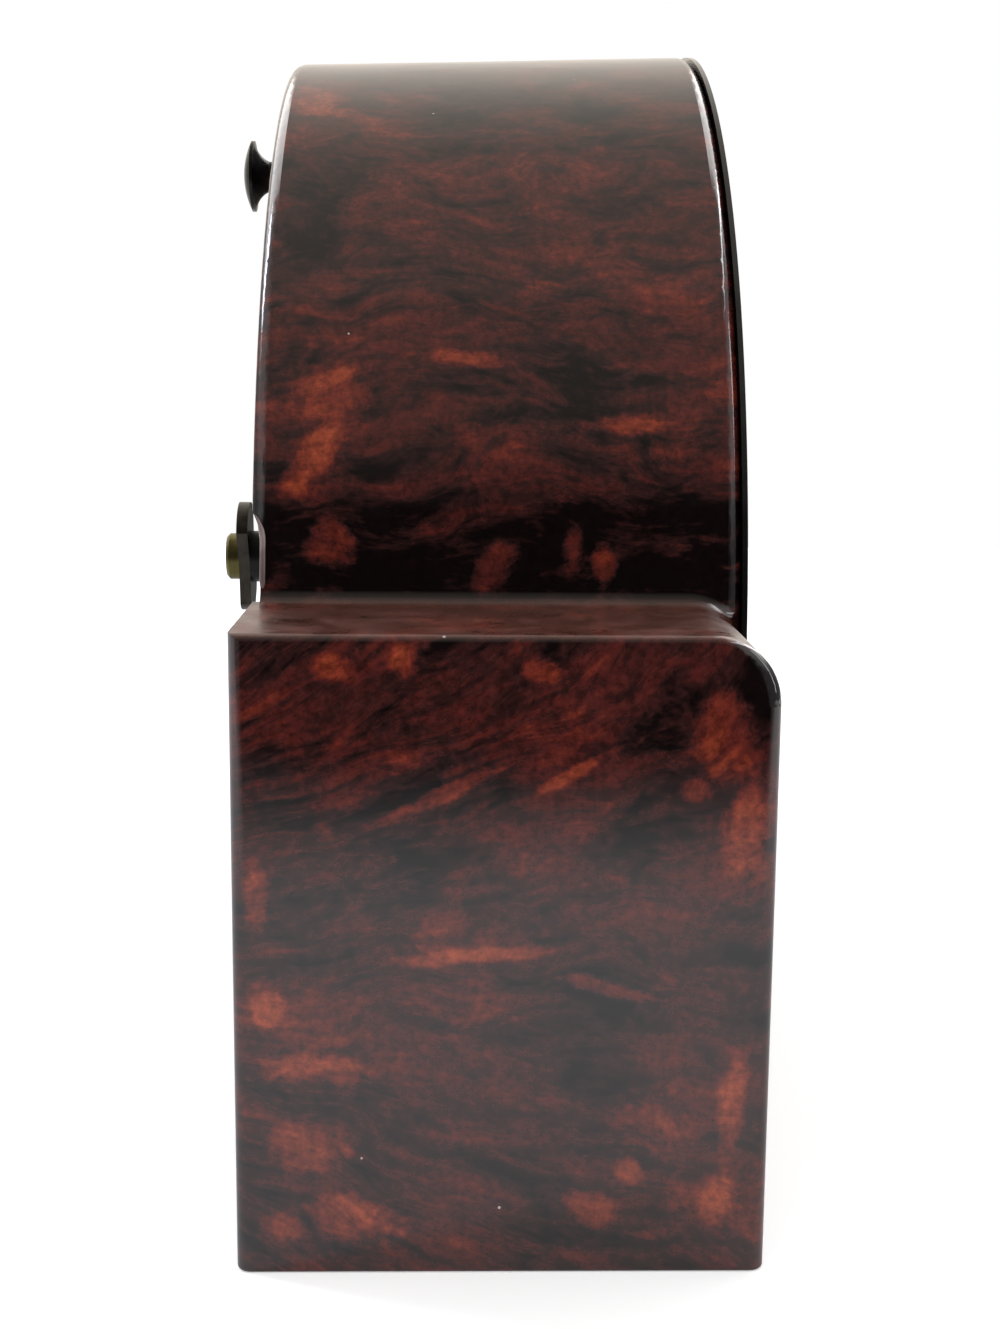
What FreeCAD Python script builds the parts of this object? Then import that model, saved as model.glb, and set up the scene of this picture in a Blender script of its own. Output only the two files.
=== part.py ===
"""Beehive shelf clock: a moulded case with a round-arched top, and its rear-wound movement.

The frame has +Z up and -Y to the front. Its origin is on the table, at the middle of the base's
footprint. Millimetres throughout. Turned pieces are drawn as half sections (radius, depth) and
flat pieces as outlines seen from the front, and each then moves sideways to its own arbor.
"""
import FreeCAD, Part
import math
import os
import Sketcher

# Driving sizes
SIZES = {
    "overrun": 1.0,               # how far every cutting solid runs past its face
    "running_clearance": 0.05,    # radial, a shaft in its hole
    "fit_clearance": 0.02,        # radial, a piece pressed on or in
    "seat_gap": 0.3,
    # moulded case
    "base_width": 227.0,
    "base_depth": 64.0,
    "base_height": 78.0,
    "dome_radius": 89.3,
    "dome_drop": 10.0,            # the arch's centre lies this far below the ledge
    "crown_rise": 1.85,           # the arch climbs this much from its rear to its front
    "case_wall": 3.2,
    "front_edge_round": 8.2,      # quarter round along the front of the ledge
    "corner_round": 1.75,
    "ledge_round": 1.1,
    "foot_round": 0.5,
    "dome_rim_round": 1.8,
    "notch_height": 11.7,         # finger notch in the rear rim, at each foot of the dome
    "notch_depth": 1.3,
    "notch_round": 6.8,
    "cover_post_radius": 4.0,
    "cover_post_inset": 3.6,      # from the inner wall to the post's middle
    "cover_post_spread": 60.0,    # the upper posts, either side of the middle
    "boss_radius": 4.0,
    "boss_across": 48.0,          # movement bosses, from the dial's middle
    "boss_up": 24.0,
    # front of the case
    "panel_setback": 0.6,         # panel's face behind the base's front
    "panel_thickness": 0.7,
    "panel_foot": 26.0,           # panel's lower edge below the ledge
    "bezel_flange": 0.9,
    "bezel_height": 4.2,
    "bezel_lip_depth": 0.8,
    "bezel_sleeve": 0.8,
    "crystal_edge": 1.6,
    "crystal_rise": 2.6,
    "dial_thickness": 0.6,
    "dial_foot_radius": 0.8,
    "dial_foot_across": 24.0,
    "dial_foot_low": 14.0,
    "dial_foot_high": 12.0,
    # rear cover
    "cover_recess": 1.2,
    "cover_thickness": 1.2,
    "cover_screw_radius": 1.4,
    "cover_screw_length": 7.0,
    "cover_screw_head": 3.0,
    "cover_screw_head_height": 1.1,
    "screw_slot": 0.7,
    "cover_hole_gap": 0.55,       # round the key's collar and the knob's neck
    # movement frame
    "motion_gap": 8.0,            # dial's back to the front plate
    "plate_thickness": 1.5,
    "plate_spacing": 27.0,
    "plate_half_width": 30.0,
    "plate_low": 50.0,            # below the dial's middle
    "plate_high": 40.0,
    "ear_half_width": 5.0,
    "pillar_radius": 2.5,
    "pillar_pin": 1.5,
    "pillar_across": 24.5,
    "pillar_low": 44.0,
    "pillar_high": 34.0,
    "nut_radius": 3.2,
    "nut_height": 1.8,
    "movement_screw_radius": 1.4,
    "movement_screw_length": 7.0,
    "movement_screw_head": 2.8,
    "movement_screw_head_height": 1.6,
    # arbors, from the dial's middle
    "winding_drop": 30.4,
    "arbor_radius": 0.8,
    "pivot_radius": 0.5,
    "end_shake": 0.2,
    "wheel_thickness": 1.2,
    "pinion_length": 3.0,
    "wheel_rim": 1.3,
    "wheel_hub": 2.8,
    "wheel_arm": 1.3,
    # depths behind the front plate
    "center_layer": 3.0,
    "intermediate_layer": 6.6,
    "third_layer": 8.2,
    "great_layer": 11.0,
    "fourth_layer": 11.6,
    "escape_layer": 15.2,
    "balance_layer": 19.5,
    "hairspring_layer": 23.2,
    "mainspring_layer": 13.2,
    # train modules
    "great_module": 0.6,
    "intermediate_module": 0.44,
    "center_module": 0.42,
    "third_module": 0.38,
    "fourth_module": 0.32,
    "motion_module": 0.6,
    "hour_module": 0.56,
    # winding work
    "winding_arbor_radius": 2.0,
    "winding_pivot": 1.5,
    "ratchet_radius": 8.0,
    "ratchet_root": 6.9,
    "ratchet_thickness": 1.2,
    "click_pivot": 13.4,          # from the winding arbor
    "click_width": 2.4,
    "click_rivet": 0.8,
    "rivet_head": 0.4,
    "click_spring_thickness": 0.3,
    "click_spring_gap": 0.9,
    "mainspring_strip": 0.35,
    "mainspring_width": 10.0,
    "mainspring_outer": 18.0,
    # winding key
    "key_reach": 13.8,            # tip of the hub behind the case
    "key_hub_radius": 4.0,
    "key_hub_length": 2.3,
    "key_hub_bevel": 0.5,
    "key_wing_length": 19.6,
    "key_wing_width": 10.4,
    "key_wing_waist": 7.6,
    "key_wing_round": 3.0,
    "key_wing_thickness": 1.9,
    "key_collar_radius": 4.45,
    # setting work
    "setting_arbor_radius": 1.2,
    "setting_collar": 2.2,
    "collar_length": 1.5,
    "knob_reach": 10.0,           # tip of the knob behind the case
    "knob_radius": 5.8,
    "knob_crown": 1.35,
    "knob_rim": 0.5,
    "knob_neck": 2.45,
    "knob_skirt": 2.4,
    "knob_socket": 4.0,
    # motion work and hands
    "motion_shake": 0.8,          # front plate to the pinion leaves
    "motion_leaf": 2.5,
    "cannon_radius": 2.0,
    "cannon_square": 1.5,
    "center_journal": 1.1,
    "hour_pipe": 3.0,
    "hour_step": 0.3,
    "hour_gap": 0.8,
    "minute_pinion_length": 3.0,
    "dial_hole": 3.6,
    "minute_post_radius": 1.0,
    "post_head": 1.8,
    "post_head_height": 0.6,
    "hour_hand_lift": 1.3,        # in front of the dial
    "minute_hand_lift": 2.7,
    "hand_thickness": 0.4,
    "hand_tail": 7.0,
    "hour_hand_width": 4.2,
    "minute_hand_width": 3.0,
    "hour_boss": 3.8,
    "minute_boss": 2.8,
    "hand_tip": 0.4,
    "hand_nut_radius": 2.4,
    "hand_nut_height": 1.0,
    # escapement
    "escape_radius": 7.0,
    "escape_root": 5.2,
    "pallet_distance": 8.6,
    "pallet_pin_radius": 0.25,
    "pallet_pin_gap": 0.2,
    "lever_width": 1.6,
    "lever_length": 8.6,
    "lever_thickness": 0.8,
    "lever_gap": 0.4,
    "fork_notch": 0.9,
    "fork_depth": 1.3,
    "fork_width": 2.4,
    "balance_distance": 11.2,
    "balance_radius": 9.4,
    "balance_rim": 1.4,
    "balance_arm": 1.4,
    "balance_thickness": 1.4,
    "balance_pivot": 0.35,
    "impulse_radius": 2.2,
    "impulse_pin_radius": 0.25,
    "impulse_disc": 2.9,
    "bush_radius": 1.5,
    "bush_stand": 1.4,
    "hairspring_strip": 0.12,
    "hairspring_width": 0.5,
    "hairspring_inner": 1.3,
    "hairspring_outer": 4.6,
    "stud_radius": 0.6,
    "regulator_ring": 3.0,
    "regulator_reach": 9.5,
    "regulator_width": 1.6,
    "regulator_thickness": 0.6,
    "curb_pin_radius": 0.25,
    "curb_circle": 5.05,
    "curb_slot": 0.9,
}

# Teeth and angles
COUNTS = {
    "great": 60,
    "intermediate_pinion": 10,
    "intermediate": 64,
    "train_pinion": 8,
    "center": 64,
    "third": 60,
    "fourth": 64,
    "escape": 15,
    "ratchet": 24,
    "cannon": 14,
    "minute": 42,
    "minute_pinion": 12,
    "hour": 48,
    "setting": 16,
}
THIRD_BEARING = 160.0
FOURTH_BEARING = 100.0
ESCAPE_BEARING = 35.0
PALLET_BEARING = 10.0
BALANCE_BEARING = -10.0
STUD_BEARING = 250.0
KEY_BEARING = 110.0
HOUR_HAND_TURN = 55.0
MINUTE_HAND_TURN = -54.0
CLICK_BEARING = 205.0
NOSE_TURN = 40.0
NOSE_MARGIN = 2.0
SPRING_TURN = 45.0
REGULATOR_BEARING = 40.0
REGULATOR_SWING = 22.0
MAINSPRING_TURNS = 7
HAIRSPRING_TURNS = 8
# Shares of the dome's radius, so that the dial and its hands keep to the arch
DOME_SHARES = {
    "dial_rise": 0.30235,         # dial's middle above the ledge
    "bezel_hole": 0.48488,
    "bezel_radius": 0.51512,
    "bezel_lip": 0.45465,         # clear radius of the opening
    "reveal_front": 0.46137,
    "reveal_rear": 0.43001,
    "dial_radius": 0.50952,
    "hour_hand_length": 0.25196,
    "minute_hand_length": 0.37514,
}
# Share of the two wheels' full reach at which the setting arbor stands above the dial's middle
SETTING_SPAN_SHARE = 0.99708
# Shares of a pitch or of a module that shape the teeth
WHEEL_TOOTH_SHARE = 0.44
LEAF_SHARE = 0.33
WHEEL_ADDENDUM_SHARE = 1.15
WHEEL_DEDENDUM_SHARE = 1.45
LEAF_ADDENDUM_SHARE = 0.6
LEAF_DEDENDUM_SHARE = 1.7
WHEEL_FLANK_SHARES = (0.72, 0.3)
LEAF_FLANK_SHARES = (0.8, 0.4)
PIN_SPAN_PITCHES = 2.5
ESCAPE_TIP_TURN = 1.0
ESCAPE_ROOT_TURN = 5.0
SPIRAL_STEPS = 18
SPIRAL_TAIL_STEPS = 6
CLICK_HEEL_SHARES = ((0.0, 1.0), (-1.0, 0.6), (-1.0, -0.6), (0.0, -1.0))
CLICK_NOSE_SHARE = 0.5
HAND_NECK_SHARE = 0.2
HAND_WIDEST_SHARE = 0.62
KNOB_TRUMPET_SHARE = 0.35


class Size:
    """A length: its number, and the sheet formula that a sketch or feature is bound to."""

    def __init__(self, value, formula):
        self.value = value
        self.formula = formula

    def __add__(self, other):
        return combined(self, "+", other)

    def __radd__(self, other):
        return combined(other, "+", self)

    def __sub__(self, other):
        return combined(self, "-", other)

    def __rsub__(self, other):
        return combined(other, "-", self)

    def __mul__(self, other):
        return combined(self, "*", other)

    def __rmul__(self, other):
        return combined(other, "*", self)

    def __truediv__(self, other):
        return combined(self, "/", other)

    def __neg__(self):
        return combined(0, "-", self)


def number(size):
    return size.value if isinstance(size, Size) else float(size)


def combined(left, sign, right):
    a, b = number(left), number(right)
    value = {"+": lambda: a + b, "-": lambda: a - b, "*": lambda: a * b, "/": lambda: a / b}[sign]()
    words = [item.formula if isinstance(item, Size) else repr(item) for item in (left, right)]
    return Size(value, f"({words[0]} {sign} {words[1]})")


def root_of(size):
    return Size(math.sqrt(size.value), f"sqrt({size.formula})")


class Sheet:
    """The driving sizes by name."""

    def __getattr__(self, name):
        return Size(SIZES[name], "Sizes." + name)


s = Sheet()


def of_dome(name):
    """A size that is a share of the dome's radius."""
    return s.dome_radius * DOME_SHARES[name]


doc = FreeCAD.newDocument("BeehiveClock")
sheet = doc.addObject("Spreadsheet::Sheet", "Sizes")
for row, (name, value) in enumerate(SIZES.items(), start=1):
    sheet.set(f"A{row}", name)
    sheet.set(f"B{row}", str(value))
    sheet.setAlias(f"B{row}", name)
doc.recompute()

# Places worked out from the driving sizes, as depth (y) and height (z)
rear = s.base_depth / 2
front = -rear
panel_face = front + s.panel_setback
dome_face = panel_face + s.panel_thickness
wall_inside = dome_face + s.case_wall
dial_back = wall_inside + s.dial_thickness
plate_face = dial_back + s.motion_gap
plate_inside = plate_face + s.plate_thickness
rear_plate_inside = plate_inside + s.plate_spacing
rear_plate_outside = rear_plate_inside + s.plate_thickness
cover_outside = rear - s.cover_recess
cover_inside = cover_outside - s.cover_thickness
dome_length = rear - dome_face
arch_rear = s.base_height - s.dome_drop - s.crown_rise / 2
arch_front = arch_rear + s.crown_rise
dial_height = s.base_height + of_dome("dial_rise")
inner_radius = s.dome_radius - s.case_wall

PIECES = {}


def keep(piece):
    """Put a finished sub-part on the list of files to write."""
    PIECES[piece.Label] = piece


def placed(x=0, y=0, z=0, turn=0):
    """A move, and a turn anticlockwise as seen from the front."""
    where = FreeCAD.Vector(number(x), number(y), number(z))
    return FreeCAD.Placement(where, FreeCAD.Rotation(FreeCAD.Vector(0, -1, 0), turn))


def polar(start, bearing, distance):
    """The point at a bearing and distance from another, as seen from the front."""
    angle = math.radians(bearing)
    reach = number(distance)
    return (start[0] + reach * math.cos(angle), start[1] + reach * math.sin(angle))


def between(first, first_reach, second, second_reach):
    """The point at two given distances from two others, to the right of the line between them."""
    across, up = second[0] - first[0], second[1] - first[1]
    span = math.hypot(across, up)
    along = (span ** 2 + first_reach ** 2 - second_reach ** 2) / (2 * span)
    aside = math.sqrt(first_reach ** 2 - along ** 2)
    return (first[0] + (along * across + aside * up) / span,
            first[1] + (along * up - aside * across) / span)


def bearing_of(start, end):
    return math.degrees(math.atan2(end[1] - start[1], end[0] - start[0]))


def new_sketch(body, name, role):
    """A sketch on one of the body's own origin planes."""
    sketch = body.newObject("Sketcher::SketchObject", name)
    plane = next(item for item in body.Origin.OriginFeatures if item.Role == role)
    sketch.AttachmentSupport = (plane, "")
    sketch.MapMode = "FlatFace"
    return sketch


def hold(sketch, item, corner, x, y):
    """Hold one point of a sketch item by its two distances from the origin."""
    for kind, size in (("DistanceX", x), ("DistanceY", y)):
        index = sketch.addConstraint(Sketcher.Constraint(kind, item, corner, number(size)))
        if isinstance(size, Size):
            sketch.setExpression(f"Constraints[{index}]", size.formula)


def draw_outline(sketch, points):
    """Closed outline. A point is (x, y), or (x, y, via_x, via_y) where an arc leaves it."""
    corners = [FreeCAD.Vector(number(point[0]), number(point[1]), 0) for point in points]
    ends = []
    for k, point in enumerate(points):
        start, end = corners[k], corners[(k + 1) % len(points)]
        if len(point) == 2:
            ends.append((sketch.addGeometry(Part.LineSegment(start, end), False), 1, 2))
            continue
        via = FreeCAD.Vector(number(point[2]), number(point[3]), 0)
        clockwise = (via - start).cross(end - via).z < 0
        arc = Part.Arc(end, via, start) if clockwise else Part.Arc(start, via, end)
        item = sketch.addGeometry(arc, False)
        ends.append((item, 2, 1) if clockwise else (item, 1, 2))
    for k, (item, _, end) in enumerate(ends):
        after, start, _ = ends[(k + 1) % len(ends)]
        sketch.addConstraint(Sketcher.Constraint("Coincident", item, end, after, start))
    for (item, start, _), point in zip(ends, points):
        hold(sketch, item, start, point[0], point[1])
        if len(point) == 4:
            via = FreeCAD.Vector(number(point[2]), number(point[3]), 0)
            marker = sketch.addGeometry(Part.Point(via), True)
            hold(sketch, marker, 1, point[2], point[3])
            sketch.addConstraint(Sketcher.Constraint("PointOnObject", marker, 1, item))


def draw_circle(sketch, x, y, radius):
    centre = FreeCAD.Vector(number(x), number(y), 0)
    circle = Part.Circle(centre, FreeCAD.Vector(0, 0, 1), number(radius))
    item = sketch.addGeometry(circle, False)
    hold(sketch, item, 3, x, y)
    index = sketch.addConstraint(Sketcher.Constraint("Radius", item, number(radius)))
    if isinstance(radius, Size):
        sketch.setExpression(f"Constraints[{index}]", radius.formula)


def bind(feature, name, size):
    """Give a feature a length that stays bound to the sheet."""
    setattr(feature, name, number(size))
    feature.setExpression(name, size.formula)


def turned(label, outline, at=(0, 0)):
    """A piece turned about the front-to-back line through a place, from its half section."""
    body = doc.addObject("PartDesign::Body", label)
    sketch = new_sketch(body, label + "_section", "XY_Plane")
    draw_outline(sketch, outline)
    turning = body.newObject("PartDesign::Revolution", label + "_turning")
    turning.Profile = sketch
    turning.ReferenceAxis = (sketch, ["V_Axis"])
    turning.Angle = 360
    body.Placement = placed(at[0], 0, at[1])
    return body


def flat(label, outline, back, thickness, holes=(), at=(0, 0), turn=0):
    """A flat piece whose outline is seen from the front, with round holes (x, z, radius)."""
    body = doc.addObject("PartDesign::Body", label)
    sketch = new_sketch(body, label + "_outline", "XZ_Plane")
    draw_outline(sketch, outline)
    for x, z, radius in holes:
        draw_circle(sketch, x, z, radius)
    pad = body.newObject("PartDesign::Pad", label + "_pad")
    pad.Profile = sketch
    bind(pad, "Length", thickness)
    body.Placement = placed(at[0], back, at[1], turn)
    return body


def stepped(start, steps):
    """Half section of a stepped shaft: from a depth, each step runs to (depth, radius)."""
    outline = [(0, start)]
    before = start
    for depth, radius in steps:
        outline += [(radius, before), (radius, depth)]
        before = depth
    return outline + [(0, before)]


def sleeve(inner, outer, start, end):
    """Half section of a plain tube or washer."""
    return [(inner, start), (outer, start), (outer, end), (inner, end)]


def disc(at, radius, start, end):
    """A plain cylinder from front to back, as a shape."""
    where = FreeCAD.Vector(at[0], number(start), at[1])
    return Part.makeCylinder(number(radius), number(end) - number(start), where, FreeCAD.Vector(0, 1, 0))


def bar(first, second, width, start, end):
    """A straight bar between two points, seen from the front, as a shape."""
    across, up = second[0] - first[0], second[1] - first[1]
    span, half = math.hypot(across, up), number(width) / 2
    aside = (-up / span * half, across / span * half)
    corners = [(first[0] + aside[0], first[1] + aside[1]), (second[0] + aside[0], second[1] + aside[1]),
               (second[0] - aside[0], second[1] - aside[1]), (first[0] - aside[0], first[1] - aside[1])]
    return prism(corners, start, end)


def prism(corners, start, end):
    """A solid with straight sides, from its outline seen from the front."""
    points = [FreeCAD.Vector(x, number(start), z) for x, z in corners]
    face = Part.Face(Part.makePolygon(points + points[:1]))
    return face.extrude(FreeCAD.Vector(0, number(end) - number(start), 0))


def shaped(label, shape):
    """A sub-part whose solid is worked out by formula."""
    piece = doc.addObject("Part::Feature", label)
    piece.Shape = shape
    return piece


def joined(label, pieces):
    fusion = doc.addObject("Part::MultiFuse", label)
    fusion.Shapes = pieces
    return fusion


def cut(label, base, tool):
    difference = doc.addObject("Part::Cut", label)
    difference.Base = base
    difference.Tool = tool
    return difference


def copies(label, master, places):
    """Like pieces as one group of separate solids."""
    doc.recompute()
    solids = []
    for x, z in places:
        solid = master.Shape.copy()
        solid.translate(FreeCAD.Vector(number(x), 0, number(z)))
        solids.append(solid)
    keep(shaped(label, Part.makeCompound(solids)))


def rounded(source, label, choose):
    """Round the edges of an object; choose gives an edge's radius, or nothing."""
    doc.recompute()
    feature = doc.addObject("Part::Fillet", label)
    feature.Base = source
    chosen = [(k, choose(edge.BoundBox)) for k, edge in enumerate(source.Shape.Edges, start=1)]
    feature.Edges = [(k, number(radius), number(radius)) for k, radius in chosen if radius]
    return feature


def arch_solid(label, radius, foot, start, end, centre):
    """The dome's round arch with a straight foot, swept forward and up along the crown's rise."""
    sketch = doc.addObject("Sketcher::SketchObject", label + "_outline")
    upright = FreeCAD.Rotation(FreeCAD.Vector(1, 0, 0), 90)
    sketch.Placement = FreeCAD.Placement(FreeCAD.Vector(0, number(start), number(centre)), upright)
    draw_outline(sketch, [(radius, 0, 0, radius), (-radius, 0), (-radius, -foot), (radius, -foot)])
    run = number(start - end)
    climb = number(s.crown_rise / dome_length) * run
    sweep = doc.addObject("Part::Extrusion", label)
    sweep.Base = sketch
    sweep.DirMode = "Custom"
    sweep.Dir = FreeCAD.Vector(0, -run, climb)
    sweep.LengthFwd = math.hypot(run, climb)
    sweep.Solid = True
    return sweep


def block(label, low, high):
    """A box between two corners, its lengths bound to the sheet."""
    box = doc.addObject("Part::Box", label)
    for name, start, end in zip(("Length", "Width", "Height"), low, high):
        bind(box, name, end - start)
    box.Placement = placed(*low)
    return box


def rod(label, at, radius, start, end):
    """A round bar from front to back, its sizes bound to the sheet."""
    cylinder = doc.addObject("Part::Cylinder", label)
    bind(cylinder, "Radius", radius)
    bind(cylinder, "Height", end - start)
    along = FreeCAD.Rotation(FreeCAD.Vector(1, 0, 0), -90)
    where = FreeCAD.Vector(number(at[0]), number(start), number(at[1]))
    cylinder.Placement = FreeCAD.Placement(where, along)
    return cylinder


def headed_screw(label, seat, radius, length, head, head_height):
    """Slotted round-headed screw with its head behind its seat."""
    half_way = seat + head_height / 2
    outline = [(0, seat - length), (radius, seat - length), (radius, seat), (head, seat),
               (head, half_way), (head - head_height / 2, seat + head_height),
               (0, seat + head_height)]
    slot = block(label + "_slot", (-head, half_way, -s.screw_slot / 2),
                 (head, seat + head_height + s.overrun, s.screw_slot / 2))
    return cut(label, turned(label + "_blank", outline), slot)


def tooth_ring(at, teeth, module, turn, leaf=False):
    """Outline of a toothed wheel, or of a pinion's leaves, seen from the front."""
    if leaf:
        width, shares = LEAF_SHARE, LEAF_FLANK_SHARES
        depth, height = LEAF_DEDENDUM_SHARE, LEAF_ADDENDUM_SHARE
    else:
        width, shares = WHEEL_TOOTH_SHARE, WHEEL_FLANK_SHARES
        depth, height = WHEEL_DEDENDUM_SHARE, WHEEL_ADDENDUM_SHARE
    step = number(module)
    middle, half = teeth * step / 2, width * 180 / teeth
    flank = [(middle - depth * step, half), (middle, half),
             (middle + height * step / 2, half * shares[0]), (middle + height * step, half * shares[1])]
    points = []
    for k in range(teeth):
        centre = turn + k * 360 / teeth
        points += [polar(at, centre - angle, radius) for radius, angle in flank]
        points += [polar(at, centre + angle, radius) for radius, angle in reversed(flank)]
    return points


def meshing_turn(driver_at, driver_teeth, at, teeth):
    """The turn that puts a pinion's gap where its wheel has a tooth, on the line of centres."""
    bearing = bearing_of(driver_at, at)
    return bearing + 180 - (0.5 - bearing * driver_teeth / 360) * 360 / teeth


def crossed_wheel(at, teeth, module, start, bore, hub, arms=4):
    """A toothed rim on straight arms and a hub, as a shape; without arms the wheel is solid."""
    end = start + s.wheel_thickness
    shape = prism(tooth_ring(at, teeth, module, 0), start, end).cut(disc(at, bore, start, end))
    if not arms:
        return shape
    inner = teeth * module / 2 - WHEEL_DEDENDUM_SHARE * module - s.wheel_rim
    window = disc(at, inner, start, end).cut(disc(at, hub, start, end))
    for k in range(arms):
        tip = polar(at, (k + 0.5) * 360 / arms, inner + s.overrun)
        window = window.cut(bar(at, tip, s.wheel_arm, start, end))
    return shape.cut(window)


def wheel(label, at, teeth, module, start, bore, arms=4):
    keep(shaped(label, crossed_wheel(at, teeth, module, start, bore, s.wheel_hub, arms)))


def leaf_block(at, teeth, module, start, end, turn):
    """The leaves of a pinion, as a shape."""
    return prism(tooth_ring(at, teeth, module, turn, leaf=True), start, end)


def pinion_arbor(label, at, start, steps, teeth, module, offset, turn):
    """An arbor turned in one with its pinion, whose leaves lie in the driving wheel's layer."""
    middle = layer(offset) + s.wheel_thickness / 2
    leaves = leaf_block(at, teeth, module, middle - s.pinion_length / 2,
                        middle + s.pinion_length / 2, turn)
    shaft = turned(label + "_shaft", stepped(start, steps), at)
    keep(joined(label, [shaft, shaped(label + "_leaves", leaves)]))


def beside(at, bearing, along, aside):
    """The point some way along a bearing and then to its left."""
    return polar(polar(at, bearing, along), bearing + 90, aside)


def coil(at, inner, outer, turns, bearing, strip, start, end, reach=None):
    """A strip wound in a flat spiral that ends at a bearing, with an outer tail if it has a reach."""
    steps, side = turns * SPIRAL_STEPS, []
    for offset in (-number(strip) / 2, number(strip) / 2):
        line = []
        for k in range(steps + 1):
            radius = number(inner) + (number(outer) - number(inner)) * k / steps + offset
            past = k - steps + SPIRAL_TAIL_STEPS
            if reach and past > 0:
                radius += (reach - number(outer)) * (past / SPIRAL_TAIL_STEPS) ** 2
            x, z = polar(at, bearing + (steps - k) * 360 / SPIRAL_STEPS, radius)
            line.append(FreeCAD.Vector(x, number(start), z))
        side.append(line)
    curves = []
    for line in side:
        curve = Part.BSplineCurve()
        curve.interpolate(line)
        curves.append(curve.toShape())
    ends = [Part.makeLine(side[0][k], side[1][k]) for k in (0, -1)]
    face = Part.Face(Part.Wire(Part.__sortEdges__(curves + ends)))
    return face.extrude(FreeCAD.Vector(0, number(end) - number(start), 0))


DIAL = (0.0, dial_height.value)
WINDING = (0.0, (dial_height - s.winding_drop).value)
minute_reach = (COUNTS["cannon"] + COUNTS["minute"]) * s.motion_module / 2
setting_reach = (COUNTS["setting"] + COUNTS["minute"]) * s.motion_module / 2
setting_rise = (minute_reach + setting_reach) * SETTING_SPAN_SHARE
SETTING = (0.0, (dial_height + setting_rise).value)
PILLARS = [(x, dial_height + z) for x in (-s.pillar_across, s.pillar_across)
           for z in (-s.pillar_low, s.pillar_high)]
BOSSES = [(x, dial_height + z) for x in (-s.boss_across, s.boss_across)
          for z in (-s.boss_up, s.boss_up)]
DIAL_FEET = [(s.dial_foot_across, dial_height - s.dial_foot_low),
             (-s.dial_foot_across, dial_height - s.dial_foot_low),
             (-s.dial_foot_across, dial_height + s.dial_foot_high)]
post_circle = inner_radius - s.cover_post_inset
upper_post = root_of(post_circle * post_circle - s.cover_post_spread * s.cover_post_spread)
lower_post = s.base_width / 2 - s.case_wall - s.cover_post_inset
COVER_POSTS = [(x, s.case_wall + s.cover_post_inset) for x in (-lower_post, lower_post)]
COVER_POSTS += [(x, arch_rear + upper_post) for x in (-s.cover_post_spread, s.cover_post_spread)]

# Arbor places, each from the two that it meshes with
intermediate_reach = (COUNTS["great"] + COUNTS["intermediate_pinion"]) * s.great_module / 2
center_reach = (COUNTS["intermediate"] + COUNTS["train_pinion"]) * s.intermediate_module / 2
third_reach = (COUNTS["center"] + COUNTS["train_pinion"]) * s.center_module / 2
fourth_reach = (COUNTS["third"] + COUNTS["train_pinion"]) * s.third_module / 2
escape_reach = (COUNTS["fourth"] + COUNTS["train_pinion"]) * s.fourth_module / 2
CENTER = DIAL
INTERMEDIATE = between(CENTER, center_reach.value, WINDING, intermediate_reach.value)
THIRD = polar(CENTER, THIRD_BEARING, third_reach)
FOURTH = polar(THIRD, FOURTH_BEARING, fourth_reach)
ESCAPE = polar(FOURTH, ESCAPE_BEARING, escape_reach)
PALLET = polar(ESCAPE, PALLET_BEARING, s.pallet_distance)
BALANCE = polar(PALLET, BALANCE_BEARING, s.balance_distance)
MINUTE = between(CENTER, minute_reach.value, SETTING, setting_reach.value)
CURB = polar(BALANCE, REGULATOR_BEARING, s.curb_circle)
STUD = polar(BALANCE, STUD_BEARING, s.hairspring_outer + s.hairspring_strip + s.stud_radius)

# Depths of the motion work, from the front plate forward
motion_back = plate_face - s.motion_shake
leaf_front = motion_back - s.motion_leaf
minute_back = motion_back - (s.motion_leaf - s.wheel_thickness) / 2
minute_front = minute_back - s.wheel_thickness
minute_pinion_front = minute_front - s.minute_pinion_length
hour_back = leaf_front - s.hour_gap
hour_hand_back = wall_inside - s.hour_hand_lift
minute_hand_back = wall_inside - s.minute_hand_lift


def layer(offset):
    """A depth counted back from the inside of the front plate."""
    return plate_inside + offset


def case_outside():
    """Base block and round arch, with their edges rounded."""
    half, tall = s.base_width / 2, s.base_height.value
    near = s.seat_gap.value

    def block_round(box):
        if abs(box.ZLength - tall) < near:
            return s.corner_round
        if box.ZMin > tall - near and box.YMax < 0:
            return s.front_edge_round
        if box.ZMin > tall - near and box.YLength > near:
            return s.ledge_round
        return s.foot_round if box.ZMax < near else None

    def rim_round(box):
        return s.dome_rim_round if box.YLength < near and box.ZMax > number(s.base_height) else None

    base = rounded(block("base_block", (-half, front, 0), (half, rear, s.base_height)),
                   "base_rounded", block_round)
    dome = rounded(arch_solid("dome_block", s.dome_radius, s.dome_drop, rear, dome_face, arch_rear),
                   "dome_rounded", rim_round)
    return joined("case_outside", [base, dome])


def case_room():
    """The hollow inside the case, open to the rear."""
    half, wall = s.base_width / 2 - s.case_wall, s.case_wall
    base = block("base_room", (-half, wall_inside, wall), (half, rear + s.overrun, s.base_height - wall))
    start = arch_rear - s.crown_rise / dome_length * s.overrun
    dome = arch_solid("dome_room", inner_radius, wall, rear + s.overrun, wall_inside, start)
    return joined("case_room", [base, dome])


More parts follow.
